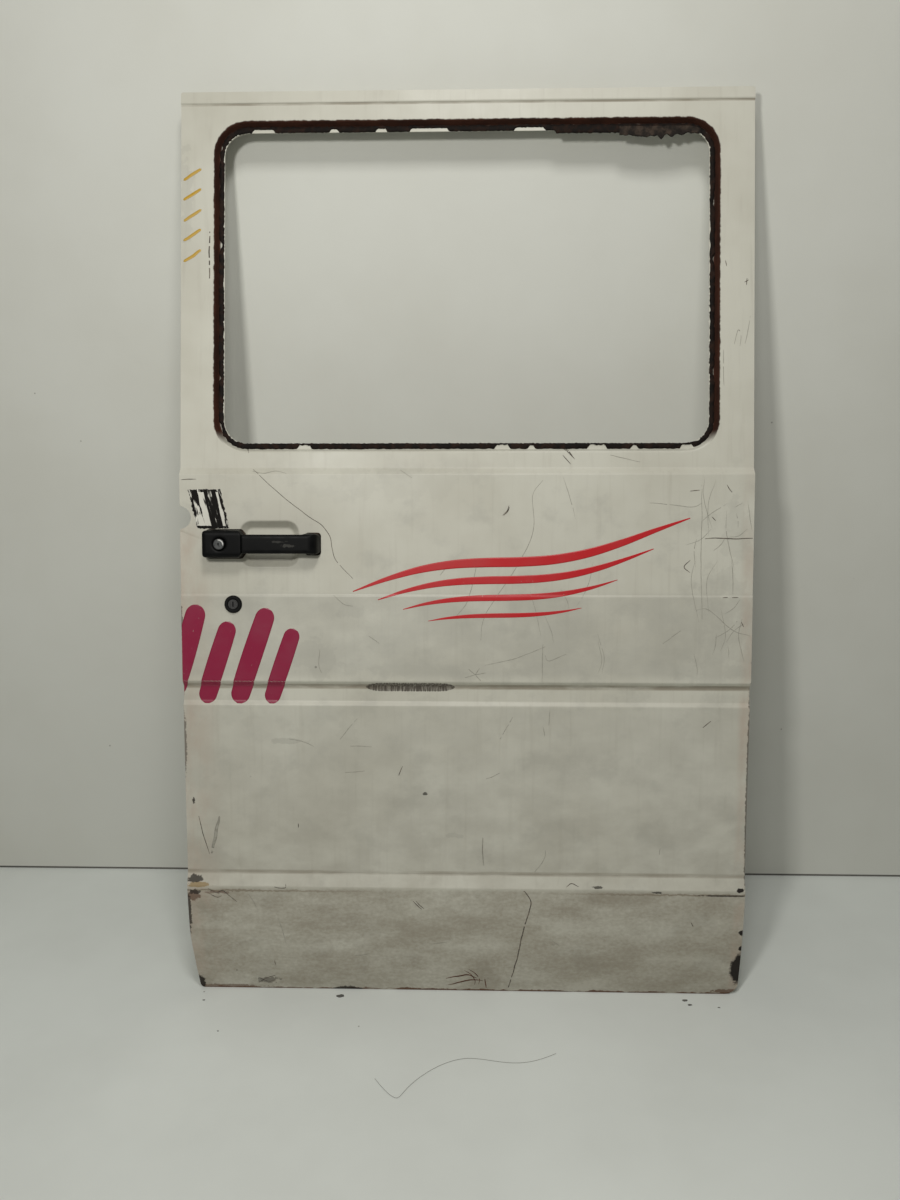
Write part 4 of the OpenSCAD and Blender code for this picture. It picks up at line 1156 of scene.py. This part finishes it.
class StrokeLayer:
    """Lays strokes on the skin as one thin mesh."""

    shortest_run: int = 2
    longest_run: int = 9
    edge_gap: float = 0.6

    def __init__(self, probe: SurfaceProbe, lift: float, step: float, seed: int) -> None:
        """Keeps how the strokes are laid.

        Args:
            probe: Finds the skin.
            lift: Millimetres that the film stands off it.
            step: Length of a stroke's pieces in millimetres.
            seed: Start of the random breaks.
        """
        self.probe = probe
        self.lift = lift
        self.step = step
        self.random = random.Random(seed)

    def spine(self, stroke: Stroke) -> list[Point2]:
        """Rounds the stroke's middle line through its points.

        Args:
            stroke: The stroke.

        Returns:
            The line in even steps.
        """
        raw = [Vector((*p, 0.0)) for p in stroke.points]
        ends = [2 * raw[0] - raw[1], *raw, 2 * raw[-1] - raw[-2]]
        line: list[Vector] = []
        for a, b, c, d in zip(ends, ends[1:], ends[2:], ends[3:]):
            count = max(2, int((c - b).length / self.step))
            for k in range(count):
                t = k / count
                square, cube = 2 * a - 5 * b + 4 * c - d, 3 * b - a - 3 * c + d
                line.append(0.5 * (2 * b + (c - a) * t + square * t * t + cube * t ** 3))
        line.append(raw[-1])
        return [(p.x, p.y) for p in line]

    def row(self, shape: bmesh.types.BMesh, middle: Point2, run: Vector,
            sides: Sequence[float]) -> list[bmesh.types.BMVert]:
        """Adds one row of points across a stroke.

        Args:
            shape: The mesh so far.
            middle: Point of the middle line.
            run: Direction of the line there.
            sides: Distances from the middle line.

        Returns:
            The points, or none where one of them misses the skin.
        """
        limit = PLAN.width / 2 - self.edge_gap
        made = []
        for side in sides:
            x = max(-limit, min(limit, middle[0] - run.y * side))
            spot = self.probe.lay(x, middle[1] + run.x * side, self.lift)
            if spot is None:
                return []
            made.append(shape.verts.new(spot))
        return made

    def add(self, shape: bmesh.types.BMesh, stroke: Stroke, across: int) -> None:
        """Adds one stroke to the mesh as strips of quads.

        Args:
            shape: The mesh so far.
            stroke: What is drawn.
            across: Number of quads over its width.
        """
        line = self.spine(stroke)
        last = len(line) - 1
        length = sum(math.dist(a, b) for a, b in zip(line, line[1:]))
        rows: list[list[bmesh.types.BMVert]] = []
        keep = 0
        for i, (x, z) in enumerate(line):
            before, after = line[max(0, i - 1)], line[min(last, i + 1)]
            run = Vector((after[0] - before[0], after[1] - before[1])).normalized()
            sway = stroke.wobble * noise.noise(Vector((x * 0.05, z * 0.05, 2.0)))
            half = stroke.width_at(i / last, length) / 2
            if stroke.gaps and keep <= 0:
                keep = self.random.randint(self.shortest_run, self.longest_run)
                if self.random.random() < stroke.gaps:
                    rows.append([])
                    continue
            keep -= 1
            sides = [half * (2 * k / across - 1) + sway for k in range(across + 1)]
            rows.append(self.row(shape, (x, z), run, sides))
        for first, second in zip(rows, rows[1:]):
            if first and second:
                for k in range(across):
                    shape.faces.new((first[k], first[k + 1], second[k + 1], second[k]))

    def build(self, name: str, strokes: Sequence[Stroke], material: bpy.types.Material,
              across: int = 1) -> None:
        """Makes the piece of all the strokes.

        Args:
            name: Name of the piece.
            strokes: What is drawn.
            material: Its finish.
            across: Number of quads over a stroke's width.
        """
        shape = bmesh.new()
        for stroke in strokes:
            self.add(shape, stroke, across)
        for face in shape.faces:
            face.normal_update()
            if face.normal.y > 0:
                face.normal_flip()
        made = new_object(name, mesh_of(name, shape), material)
        modify(made, "SOLIDIFY", thickness=self.lift * 0.8 * MM, offset=-1.0)
        bake(made)
        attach(made, Body.DOOR.value)
        LOG.info("%s has %d strokes and %d faces", name, len(strokes), len(made.data.polygons))


@dataclass(frozen=True)
class Scatter:
    """Short scratches scattered over an area, in door millimetres and degrees from level."""

    seed: int
    count: int
    low: Point2
    high: Point2
    length: Point2
    slope: Point2
    width: Point2

    def strokes(self) -> list[Stroke]:
        """Draws the scratches.

        Returns:
            The scratches as strokes.
        """
        draw = random.Random(self.seed)
        made = []
        for _ in range(self.count):
            x, z = draw.uniform(self.low[0], self.high[0]), draw.uniform(self.low[1], self.high[1])
            size, turn = draw.uniform(*self.length), math.radians(draw.uniform(*self.slope))
            bend = draw.uniform(-0.12, 0.12) * size
            dx, dz = size * math.cos(turn) / 2, size * math.sin(turn) / 2
            points = ((x - dx, z - dz), (x - bend * math.sin(turn), z + bend), (x + dx, z + dz))
            made.append(Stroke(points, draw.uniform(*self.width), 0.9, 0.15, 0.8))
        return made


@dataclass(frozen=True)
class Marks:
    """Scratches, cracks and stains on the outer skin, which the probe finds."""

    probe: SurfaceProbe
    scatters: tuple[Scatter, ...] = (
        Scatter(5, 12, (402, 600), (494, 915), (24, 120), (80, 100), (0.7, 1.0)),
        Scatter(6, 8, (396, 590), (492, 900), (14, 60), (10, 60), (0.7, 1.0)),
        Scatter(9, 7, (110, 610), (250, 930), (30, 110), (60, 120), (0.7, 0.9)),
    )

    def dark_lines(self) -> list[Stroke]:
        """Draws the dark scratches and cracks.

        Returns:
            The long ones first, then the short ticks.
        """
        long_crack = ((-371, 955), (-358, 944), (-325, 914), (-293, 888), (-277, 876), (-249, 857),
                      (-236, 838), (-232, 816), (-228, 801), (-217, 786), (-203, 772), (-196, 764))
        valance_crack = ((104, 206), (111, 201), (120, 182), (112, 150), (105, 117), (94, 60), (81, 8))
        right_scratch = ((416, 835), (440, 836), (470, 835), (498, 836))
        rim_flecks = ((-449, 1372), (-450, 1340), (-449, 1290))
        ticks = (
            ((452, 928), (456, 921), (461, 915)),
            ((427, 873), (434, 866)),
            ((163, 1000), (176, 988), (191, 973)),
            ((164, 999), (178, 989), (190, 974)),
            ((448, 733), (457, 733)),
            ((464, 733), (475, 733)),
            ((481, 690), (485, 682)),
            ((-387, 998), (-382, 990), (-379, 984)),
            ((-385, 996), (-380, 986)),
            ((-497, 937), (-484, 938), (-470, 938)),
            ((-117, 413), (-114, 421), (-110, 430)),
            ((-298, 324), (-298, 316)),
            ((-92, 184), (-84, 175), (-76, 168)),
            ((-87, 184), (-80, 176), (-72, 169)),
            ((-349, 60), (-347, 50)),
            ((-382, 11), (-365, 22), (-349, 28)),
            ((-379, 22), (-364, 14), (-352, 17)),
            ((-342, 208), (-334, 206), (-322, 207), (-322, 213)),
            ((407, 148), (411, 140)),
            ((183, 213), (192, 219), (205, 214)),
            ((77, 892), (74, 883), (66, 875)),
            ((78, 890), (75, 882), (68, 875)),
            ((184, 964), (170, 980)),
            ((419, 503), (433, 515)),
            ((406, 919), (389, 917)),
            ((391, 798), (381, 786), (391, 776)),
            ((-478, 336), (-470, 300), (-460, 266)),
            ((-462, 204), (-448, 196), (-436, 200), (-424, 190), (-411, 179)),
            ((-458, 192), (-446, 187), (-438, 190)),
            ((450, 1316), (452, 1306)),
            ((483, 1278), (490, 1282)),
            ((487, 1285), (486, 1273)),
        )
        return [
            Stroke(long_crack, 1.1, 0.4, 0.03, 1.0),
            Stroke(valance_crack, 2.0, 0.3, 0.06, 1.2),
            Stroke(right_scratch, 1.8, 0.5, 0.0, 0.6),
            Stroke(rim_flecks, 2.2, 0.3, 0.6, 2.0),
            *(Stroke(points, 1.4, 0.6, 0.0, 0.6) for points in ticks),
        ]

    def faint_lines(self) -> list[Stroke]:
        """Draws the fine pale-grey scratches.

        Returns:
            Those with a place of their own first, then the scattered ones.
        """
        fine = (
            ((135, 936), (118, 909), (119, 848), (91, 787), (36, 701), (29, 657)),
            ((409, 928), (410, 867), (410, 798), (413, 696)),
            ((320, 897), (343, 895), (393, 890), (410, 897)),
            ((463, 800), (465, 770), (466, 739)),
            ((402, 711), (425, 711), (465, 677), (497, 666)),
            ((482, 696), (477, 664), (487, 622)),
            ((377, 675), (346, 652)),
            ((137, 651), (136, 584)),
            ((141, 646), (92, 626), (36, 613)),
            ((178, 633), (148, 621), (141, 631)),
            ((252, 980), (304, 968)),
            ((-22, 797), (-43, 771)),
            ((-113, 954), (-92, 940)),
            ((23, 798), (6, 728), (-17, 696)),
            ((-255, 640), (-257, 612), (-252, 598)),
            ((-168, 664), (-150, 650)),
            ((-312, 478), (-290, 474), (-268, 465)),
            ((-221, 478), (-206, 498), (-190, 516)),
            ((-230, 735), (-212, 720), (-196, 716)),
            ((-372, 952), (-352, 948), (-330, 952), (-312, 948)),
            ((466, 1172), (472, 1196), (477, 1186), (475, 1168)),
            ((484, 1172), (489, 1196), (493, 1220)),
            ((447, 1162), (447, 1130), (448, 1100)),
            ((85, 520), (63, 480)),
            ((139, 503), (142, 486)),
            ((150, 532), (149, 505)),
            ((33, 301), (32, 275), (34, 249)),
            ((34, 300), (33, 276), (35, 250)),
            ((145, 278), (143, 262), (126, 238)),
            ((38, 408), (50, 412), (63, 419)),
            ((349, 284), (348, 272)),
            ((-56, 99), (-42, 101), (-30, 104)),
            ((-204, 72), (-188, 74), (-172, 77)),
            ((-389, 194), (-382, 182), (-376, 168)),
            ((-338, 148), (-330, 122), (-325, 95)),
            ((156, 112), (164, 104), (172, 98)),
            ((156, 104), (163, 98)),
            ((-203, 466), (-180, 466), (-165, 465)),
            ((-215, 417), (-196, 419), (-178, 421)),
        )
        worn = ((-441, 336), (-448, 300), (-456, 267))
        star_x, star_z = 19, 596
        rays = (((star_x, star_z), (star_x + 20 * math.cos(a), star_z + 12 * math.sin(a)))
                for a in (0.3, 1.2, 2.2, 3.6, 5.2))
        return [
            *(Stroke(points, 1.0, 0.5, 0.06, 0.8) for points in fine),
            Stroke(worn, 6.0, 0.6, 0.25, 2.0),
            *(Stroke(ray, 1.2, 0.5) for ray in rays),
            *(stroke for scatter in self.scatters for stroke in scatter.strokes()),
        ]

    def rust_lines(self) -> list[Stroke]:
        """Draws the rust-brown strokes low on the valance.

        Returns:
            The strokes.
        """
        return [
            Stroke(((-34, 26), (-12, 30), (8, 34), (24, 28)), 2.6, 0.8, 0.12, 2.0),
            Stroke(((-30, 12), (-8, 18), (14, 24), (34, 22)), 2.6, 0.8, 0.12, 2.0),
            Stroke(((8, 46), (20, 38), (28, 26), (26, 14)), 1.6, 0.8, 0.2, 1.5),
            Stroke(((0, 44), (14, 34), (20, 22), (18, 12)), 1.4, 0.8, 0.2, 1.5),
            Stroke(((38, 26), (39, 16), (40, 6)), 2.0, 0.6, 0.1, 1.0),
        ]

    def build(self) -> None:
        """Makes all the marks."""
        layer = StrokeLayer(self.probe, lift=0.14, step=2.5, seed=17)
        dark = Smudge("dark_scratch", (0.07, 0.06, 0.05), (0.19, 0.165, 0.13)).material()
        faint = Smudge("faint_scratch", (0.29, 0.28, 0.235), (0.38, 0.37, 0.315)).material()
        rust = Smudge("rust_stain", (0.13, 0.06, 0.032), (0.075, 0.032, 0.02)).material()
        layer.build("scratches", self.dark_lines(), dark)
        layer.build("fine_scratches", self.faint_lines(), faint)
        layer.build("rust_marks", self.rust_lines(), rust)


@dataclass(frozen=True)
class Decoration:
    """Plain vinyl stripes and marker dashes on the outer skin, which the probe finds."""

    probe: SurfaceProbe

    def build(self) -> None:
        """Makes the stripes and the dashes."""
        red = Film("red_film", (0.52, 0.012, 0.018), (0.44, 0.02, 0.022)).material()
        crimson = Film("crimson_film", (0.26, 0.008, 0.045), (0.24, 0.012, 0.048)).material()
        yellow = Film("yellow_marker", (0.50, 0.30, 0.025), (0.52, 0.38, 0.13)).material()
        layer = StrokeLayer(self.probe, lift=0.16, step=2.0, seed=1)
        layer.build("red_stripes", self.waves(), red, 8)
        layer.build("crimson_bars", self.bars(), crimson, 16)
        layer.build("marker_dashes", self.dashes(), yellow, 3)

    def waves(self) -> list[Stroke]:
        """Draws tapering waves that lie one under the other and rise to the rear.

        Returns:
            The waves, from the top one down.
        """
        front, rear, top, gap = -196, 390, 742, 31
        slope, swing, period, steps = 0.2, 15, 82, 10
        made = []
        for k in range(4):
            start, end = front + 44 * k, rear - 62 * k
            points = []
            for i in range(steps + 1):
                x = start + (end - start) * i / steps
                z = top + slope * (x - front) + swing * math.sin((x - front) / period) - gap * k
                points.append((x, z))
            made.append(Stroke(tuple(points), 17 - 3.0 * k, 0.9))
        return made

    def bars(self) -> list[Stroke]:
        """Draws slanted bars with round ends, of which the first runs off the front edge.

        Returns:
            The bars, from the front one back.
        """
        bars = (
            (38, ((-518, 556), (-496, 626), (-470, 718))),
            (34, ((-462, 542), (-440, 610), (-414, 688))),
            (36, ((-404, 542), (-378, 620), (-346, 712))),
            (30, ((-346, 542), (-324, 606), (-300, 676))),
        )
        return [Stroke(points, width, 0.1, round_ends=True) for width, points in bars]

    def dashes(self) -> list[Stroke]:
        """Returns separate slanted marker dashes on the front pillar."""
        return [Stroke(((-496, z), (-481, z + 9), (-464, z + 20)), 5.4, 0.25, 0.0, 2.0, True)
                for z in (1320, 1356, 1391, 1427, 1462)]


class Repeats:
    """Small like pieces set on points through Geometry Nodes."""

    sides: int = 14
    smallest: float = 0.85
    largest: float = 1.1
    seed: int = 5
    kinds: tuple[tuple[str, str], ...] = (
        ("Radius", "Float"), ("Height", "Float"), ("Crown", "Float"), ("Seed", "Int"),
        ("Material", "Material"),
    )

    def __init__(self) -> None:
        """Builds the node tree once."""
        tree = bpy.data.node_groups.new("set_on_points", "GeometryNodeTree")
        face = tree.interface
        face.new_socket("Points", in_out="INPUT", socket_type="NodeSocketGeometry")
        sockets = {name: face.new_socket(name, in_out="INPUT", socket_type="NodeSocket" + kind)
                   for name, kind in self.kinds}
        face.new_socket("Pieces", in_out="OUTPUT", socket_type="NodeSocketGeometry")
        add = tree.nodes.new
        source, made = add("NodeGroupInput"), add("NodeGroupOutput")
        given = source.outputs
        disc, top = add("GeometryNodeMeshCone"), add("ShaderNodeMath")
        disc.inputs["Vertices"].default_value = self.sides
        top.operation = "MULTIPLY"
        facing, turn = add("GeometryNodeInputNamedAttribute"), add("FunctionNodeAlignRotationToVector")
        facing.data_type = "FLOAT_VECTOR"
        facing.inputs["Name"].default_value = "facing"
        size, place = add("FunctionNodeRandomValue"), add("GeometryNodeInstanceOnPoints")
        size.data_type = "FLOAT"
        size.inputs[2].default_value = self.smallest
        size.inputs[3].default_value = self.largest
        solid, paint = add("GeometryNodeRealizeInstances"), add("GeometryNodeSetMaterial")
        links = (
            (given["Radius"], top.inputs[0]),
            (given["Crown"], top.inputs[1]),
            (top.outputs[0], disc.inputs["Radius Top"]),
            (given["Radius"], disc.inputs["Radius Bottom"]),
            (given["Height"], disc.inputs["Depth"]),
            (facing.outputs[0], turn.inputs["Vector"]),
            (given["Seed"], size.inputs["Seed"]),
            (given["Points"], place.inputs["Points"]),
            (disc.outputs["Mesh"], place.inputs["Instance"]),
            (turn.outputs[0], place.inputs["Rotation"]),
            (size.outputs[1], place.inputs["Scale"]),
            (place.outputs[0], solid.inputs[0]),
            (solid.outputs[0], paint.inputs["Geometry"]),
            (given["Material"], paint.inputs["Material"]),
            (paint.outputs[0], made.inputs[0]),
        )
        for first, second in links:
            tree.links.new(first, second)
        self.tree = tree
        self.names = {name: socket.identifier for name, socket in sockets.items()}

    def build(self, name: str, places: Sequence[Vector], way: Vector, radius: float, height: float,
              crown: float, material: bpy.types.Material, slot: str) -> None:
        """Makes a piece of like round heads.

        Args:
            name: Name of the piece.
            places: Middle of each, in metres.
            way: Direction that they face.
            radius: Radius of a head in millimetres.
            height: How far it stands off, in millimetres.
            crown: Share of the radius that its flat top has.
            material: Its finish.
            slot: Material slot of the record; not used.
        """
        mesh = bpy.data.meshes.new(name)
        mesh.from_pydata(places, [], [])
        facing = mesh.attributes.new("facing", "FLOAT_VECTOR", "POINT")
        for item in facing.data:
            item.vector = way
        made = new_object(name, mesh, material)
        repeat = modify(made, "NODES", node_group=self.tree)
        values = {"Radius": radius * MM, "Height": height * MM, "Crown": crown, "Seed": self.seed,
                  "Material": material}
        for key, value in values.items():
            repeat[self.names[key]] = value
        bake(made)
        smooth(made.data, 40.0)
        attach(made, Body.DOOR.value)
        LOG.info("%s has %d heads", name, len(places))


@dataclass(frozen=True)
class Lamp:
    """Square lamp of the room: its place and side in metres, its power in watts and its colour."""

    name: str
    place: tuple[float, float, float]
    side: float
    power: float
    colour: Colour

    def build(self, place: Vector, aim: Vector) -> None:
        """Makes the lamp.

        Args:
            place: Its middle in the row frame.
            aim: Point that it faces.
        """
        light = bpy.data.lights.new(self.name, "AREA")
        light.size = self.side
        light.energy = self.power
        light.color = self.colour
        made = bpy.data.objects.new(self.name, light)
        made.location = place
        made.rotation_mode = "QUATERNION"
        made.rotation_quaternion = (aim - place).to_track_quat("-Z", "Y")
        bpy.context.scene.collection.objects.link(made)


@dataclass(frozen=True)
class Stage:
    """Room corner that the door leans in, its lamps and the camera.

    Places in the room are x, away and up in metres. The contact and the touch are door millimetres, a
    crumb is its x, its away and its radius in millimetres, and the camera is in the row frame.
    """

    tilt: float = 13.0
    contact: tuple[float, float, float] = (0.0, 3.0, 0.0)
    touch: Point2 = (42.0, 1603.0)
    half_width: float = 4.0
    wall_height: float = 3.6
    floor_from: float = -4.0
    floor_to: float = 3.0
    gap_low: float = 0.0005
    gap_high: float = 0.005
    aim: tuple[float, float, float] = (0.0, 0.1, 0.8)
    lamps: tuple[Lamp, ...] = (
        Lamp("key_lamp", (-0.48, -1.6, 1.8), 0.2, 16, (1.0, 0.985, 0.94)),
        Lamp("ceiling_lamp", (0.1, -1.1, 3.0), 0.5, 21, (1.0, 0.99, 0.96)),
    )
    sky: Colour = (1.0, 0.96, 0.90)
    sky_power: float = 0.17
    crumb_seed: int = 6
    crumb_places: tuple[tuple[float, float, float], ...] = (
        (-0.228, -0.023, 4.5), (-0.476, -0.039, 1.6), (0.402, -0.022, 3.2),
        (0.409, -0.034, 2.4), (-0.43, -0.12, 1.2), (0.46, -0.04, 1.4),
    )
    thread_radius: float = 0.00028
    thread_up: float = 0.0006
    thread_line: tuple[Point2, ...] = (
        (-0.144, -0.227), (-0.126, -0.253), (-0.108, -0.271), (-0.100, -0.268),
        (-0.088, -0.242), (-0.057, -0.208), (-0.025, -0.186), (0.007, -0.175),
        (0.044, -0.181), (0.094, -0.191), (0.131, -0.179), (0.158, -0.163),
    )
    lens: float = 40.85
    sensor: float = 36.0
    camera_place: tuple[float, float, float] = (0.375, -1.8465, 0.7572)
    camera_forward: tuple[float, float, float] = (-0.0283, 0.9973, -0.0681)
    camera_up: tuple[float, float, float] = (-0.0029, 0.0681, 0.9977)

    def world(self, x: float, away: float, up: float) -> Vector:
        """Turns a place of the room into one of the row frame.

        Args:
            x: Metres to the right of the door's middle.
            away: Metres from the door's foot towards the wall along the floor.
            up: Metres above the floor.

        Returns:
            The point in the row frame.
        """
        lean = math.radians(self.tilt)
        forward = Vector((0, math.cos(lean), math.sin(lean)))
        rise = Vector((0, -math.sin(lean), math.cos(lean)))
        return PLAN.at(*self.contact) + Vector((x, 0, 0)) + forward * away + rise * up

    def wall_distance(self) -> float:
        """Finds where the door's top touches the wall.

        Returns:
            How far behind the door's foot the wall stands, in metres.
        """
        lean = math.radians(self.tilt)
        back, height = self.touch[0] - self.contact[1], self.touch[1]
        return (back * math.cos(lean) + height * math.sin(lean)) * MM

    def sheet(self, name: str, near: Point2, far: Point2, material: bpy.types.Material) -> None:
        """Makes one flat side of the room.

        Args:
            name: Name of the piece.
            near: Away and up of its first edge, which runs across the room.
            far: Away and up of its last edge.
            material: Its finish.
        """
        w = self.half_width
        corners = [self.world(x, *edge) for x, edge in ((-w, near), (w, near), (w, far), (-w, far))]
        mesh = bpy.data.meshes.new(name)
        mesh.from_pydata(corners, [], [(0, 1, 2, 3)])
        new_object(name, mesh, material)

    def build(self) -> None:
        """Makes the wall, the floor, the lamps, the world and the camera."""
        wall = PlainWall("wall_paint", (0.67, 0.68, 0.63), (0.63, 0.635, 0.58), 0.6).material()
        ground = PlainWall("floor_paint", (0.75, 0.785, 0.755), (0.69, 0.72, 0.69), 0.42).material()
        dark = PlainWall("foot_gap", (0.16, 0.155, 0.14), (0.10, 0.10, 0.09), 0.8).material()
        grey = PlainWall("floor_thread", (0.24, 0.235, 0.21), (0.17, 0.165, 0.15), 0.8).material()
        back = self.wall_distance()
        self.sheet("backdrop", (back, 0), (back, self.wall_height), wall)
        self.sheet("floor", (self.floor_from, 0), (self.floor_to, 0), ground)
        self.sheet("foot_line", (back - MM, self.gap_low), (back - MM, self.gap_high), dark)
        self.crumbs(dark)
        self.thread(grey)
        for lamp in self.lamps:
            lamp.build(self.world(*lamp.place), self.world(*self.aim))
        world = bpy.data.worlds.new("room")
        world.use_nodes = True
        sky = world.node_tree.nodes["Background"]
        sky.inputs[0].default_value = opaque(self.sky)
        sky.inputs[1].default_value = self.sky_power
        bpy.context.scene.world = world
        bpy.context.scene.view_settings.view_transform = "Standard"
        self.camera()

    def crumbs(self, material: bpy.types.Material) -> None:
        """Makes the few crumbs of dirt on the floor along the door's foot.

        Args:
            material: Their finish.
        """
        draw = random.Random(self.crumb_seed)
        shape = bmesh.new()
        for x, away, size in self.crumb_places:
            made = bmesh.ops.create_icosphere(shape, subdivisions=2, radius=size * MM)
            for vert in made["verts"]:
                push = 1.0 + 0.5 * noise.noise(vert.co * 400 + Vector((draw.random(), size, 0)))
                flat = Vector((vert.co.x * 1.6, vert.co.y, vert.co.z * 0.5))
                vert.co = self.world(x, away, 0.0) + flat * push
        new_object("floor_crumbs", mesh_of("floor_crumbs", shape, 60.0), material)

    def thread(self, material: bpy.types.Material) -> None:
        """Makes the loose thread that lies curled on the floor in front of the door.

        Args:
            material: Its finish.
        """
        curve = bpy.data.curves.new("thread", "CURVE")
        curve.dimensions = "3D"
        curve.bevel_depth = self.thread_radius
        curve.bevel_resolution = 1
        line = curve.splines.new("NURBS")
        line.points.add(len(self.thread_line) - 1)
        line.use_endpoint_u = True
        for point, (x, away) in zip(line.points, self.thread_line):
            point.co = (*self.world(x, away, self.thread_up), 1.0)
        source = bpy.data.objects.new("thread", curve)
        bpy.context.scene.collection.objects.link(source)
        mesh = plain_mesh(source)
        bpy.data.objects.remove(source)
        new_object("floor_thread", mesh, material)

    def camera(self) -> None:
        """Makes the camera from the measured place and direction."""
        data = bpy.data.cameras.new("camera")
        data.sensor_fit = "HORIZONTAL"
        data.sensor_width = self.sensor
        data.lens = self.lens
        forward = Vector(self.camera_forward).normalized()
        right = forward.cross(Vector(self.camera_up)).normalized()
        turn = Matrix((right, right.cross(forward), -forward)).transposed()
        made = bpy.data.objects.new("camera", data)
        made.matrix_world = Matrix.Translation(self.camera_place) @ turn.to_4x4()
        bpy.context.scene.collection.objects.link(made)
        bpy.context.scene.camera = made


@dataclass
class Door:
    """Builds every visible piece of the door. Its lengths are millimetres."""

    weld_y: float = 6.1
    foot_welds: int = 24
    foot_weld_step: float = 40.0
    first_foot_weld: Point2 = (-460.0, 20.0)
    side_welds: int = 22
    side_weld_step: float = 38.0
    first_side_weld: Point2 = (480.0, 60.0)
    screw_heights: Point2 = (762.0, 818.0)
    screw_y: float = -18.0
    step_in: float = 12.0

    def __post_init__(self) -> None:
        """Makes the finishes that several pieces share."""
        self.copies = CadCopies(frame["nodes"])
        self.outer = OuterPaint().material()
        self.inner = InnerPaint().material()
        self.plastic = Plastic().material()
        self.trim = Plastic("trim_plastic", (0.007, 0.007, 0.007), (0.05, 0.049, 0.047),
                            rub_from=0.66, rough=0.5).material()
        self.rubber = Rubber().material()
        self.sealant = Rubber("torn_sealant", (0.009, 0.007, 0.006), (0.034, 0.019, 0.014),
                              grain=4.0).material()
        self.zinc = Metal().material()
        self.dull = Metal("dulled_metal", (0.10, 0.10, 0.10), (0.022, 0.021, 0.020),
                          rough=0.26, spots_from=0.5).material()

    def sheets(self) -> SurfaceProbe:
        """Makes the pressed sheets.

        Returns:
            The probe of the outer skin.
        """
        skin = self.copies.dress("door_skin", self.outer, Body.DOOR, "outer_skin", "window_surround",
                                 slot="body_paint")
        for node in ("front_channel", "bottom_channel", "rear_channel", "inner_lower_panel",
                     "inner_window_frame", "belt_beam", "mid_stiffener", "lower_stiffener"):
            self.copies.dress(f"{node}_sheet", self.inner, Body.DOOR, node, slot="body_paint")
        for node in ("lower_arm_plate", "centre_carriage_plate", "upper_roller_plate"):
            self.copies.dress(f"{node}_painted", self.inner, Body.DOOR, node, bevel=0.6, slot="body_paint")
        return SurfaceProbe(skin.data)

    def fittings(self) -> None:
        """Makes the handle, the locks, the latch and the small trim."""
        for node in ("handle_block", "handle_bar"):
            self.copies.dress(f"{node}_moulding", self.plastic, Body.DOOR, node, melt=0.9,
                              slot="black_plastic")
        for node in ("block_gasket", "foot_gasket", "rubber_plugs"):
            self.copies.dress(f"{node}_soft", self.rubber, Body.DOOR, node, bevel=0.4, slot="rubber")
        for node in ("lock_bezel", "release_escutcheon", "release_lever", "guide_wedges"):
            self.copies.dress(f"{node}_moulding", self.trim, Body.DOOR, node, bevel=0.5,
                              slot="black_plastic")
        for node in ("lock_clip", "latch_case", "latch_claw", "latch_pawl", "latch_pins", "release_rod"):
            self.copies.dress(f"{node}_plated", self.zinc, Body.DOOR, node, bevel=0.3, slot="zinc")
        low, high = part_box("push_button")
        middle = (low + high) / (2 * MM) + Vector(PLAN.origin)
        cap = ButtonFace(radius=(high.x - low.x) / (2 * MM)).material(middle.x, middle.z)
        self.copies.dress("push_button_cap", cap, Body.BUTTON, "push_button", bevel=0.5, slot="worn_chrome")
        self.copies.dress("key_barrel_core", self.dull, Body.KEY, "lock_barrel", bevel=0.3, slot="zinc")
        self.copies.dress("key_tail", self.zinc, Body.KEY, "lock_tail", bevel=0.3, slot="zinc")

    def fasteners(self) -> None:
        """Makes the spot welds of the inner sheets and the screws of the latch."""
        repeats = Repeats()
        x, z = self.first_foot_weld
        welds = [PLAN.at(x + self.foot_weld_step * k, self.weld_y, z) for k in range(self.foot_welds)]
        x, z = self.first_side_weld
        welds += [PLAN.at(side * x, self.weld_y, z + self.side_weld_step * k)
                  for k in range(self.side_welds) for side in (-1, 1)]
        repeats.build("spot_welds", welds, Vector((0, 1, 0)), radius=2.8, height=0.5, crown=0.6,
                      material=self.inner, slot="body_paint")
        wall = self.step_in - PLAN.width / 2
        screws = [PLAN.at(wall, self.screw_y, z) for z in self.screw_heights]
        repeats.build("latch_screws", screws, Vector((-1, 0, 0)), radius=5.0, height=2.4, crown=0.75,
                      material=self.zinc, slot="zinc")

    def build(self) -> None:
        """Makes the whole door."""
        probe = self.sheets()
        self.fittings()
        self.fasteners()
        SealantRing().build(self.sealant)
        RubberScrap().build(self.rubber)
        Marks(probe).build()
        Decoration(probe).build()


def main() -> None:
    """Builds the door and its room."""
    logging.basicConfig(level=logging.INFO, format="%(message)s")
    Door().build()
    Stage().build()


if __name__ == "__main__":
    main()
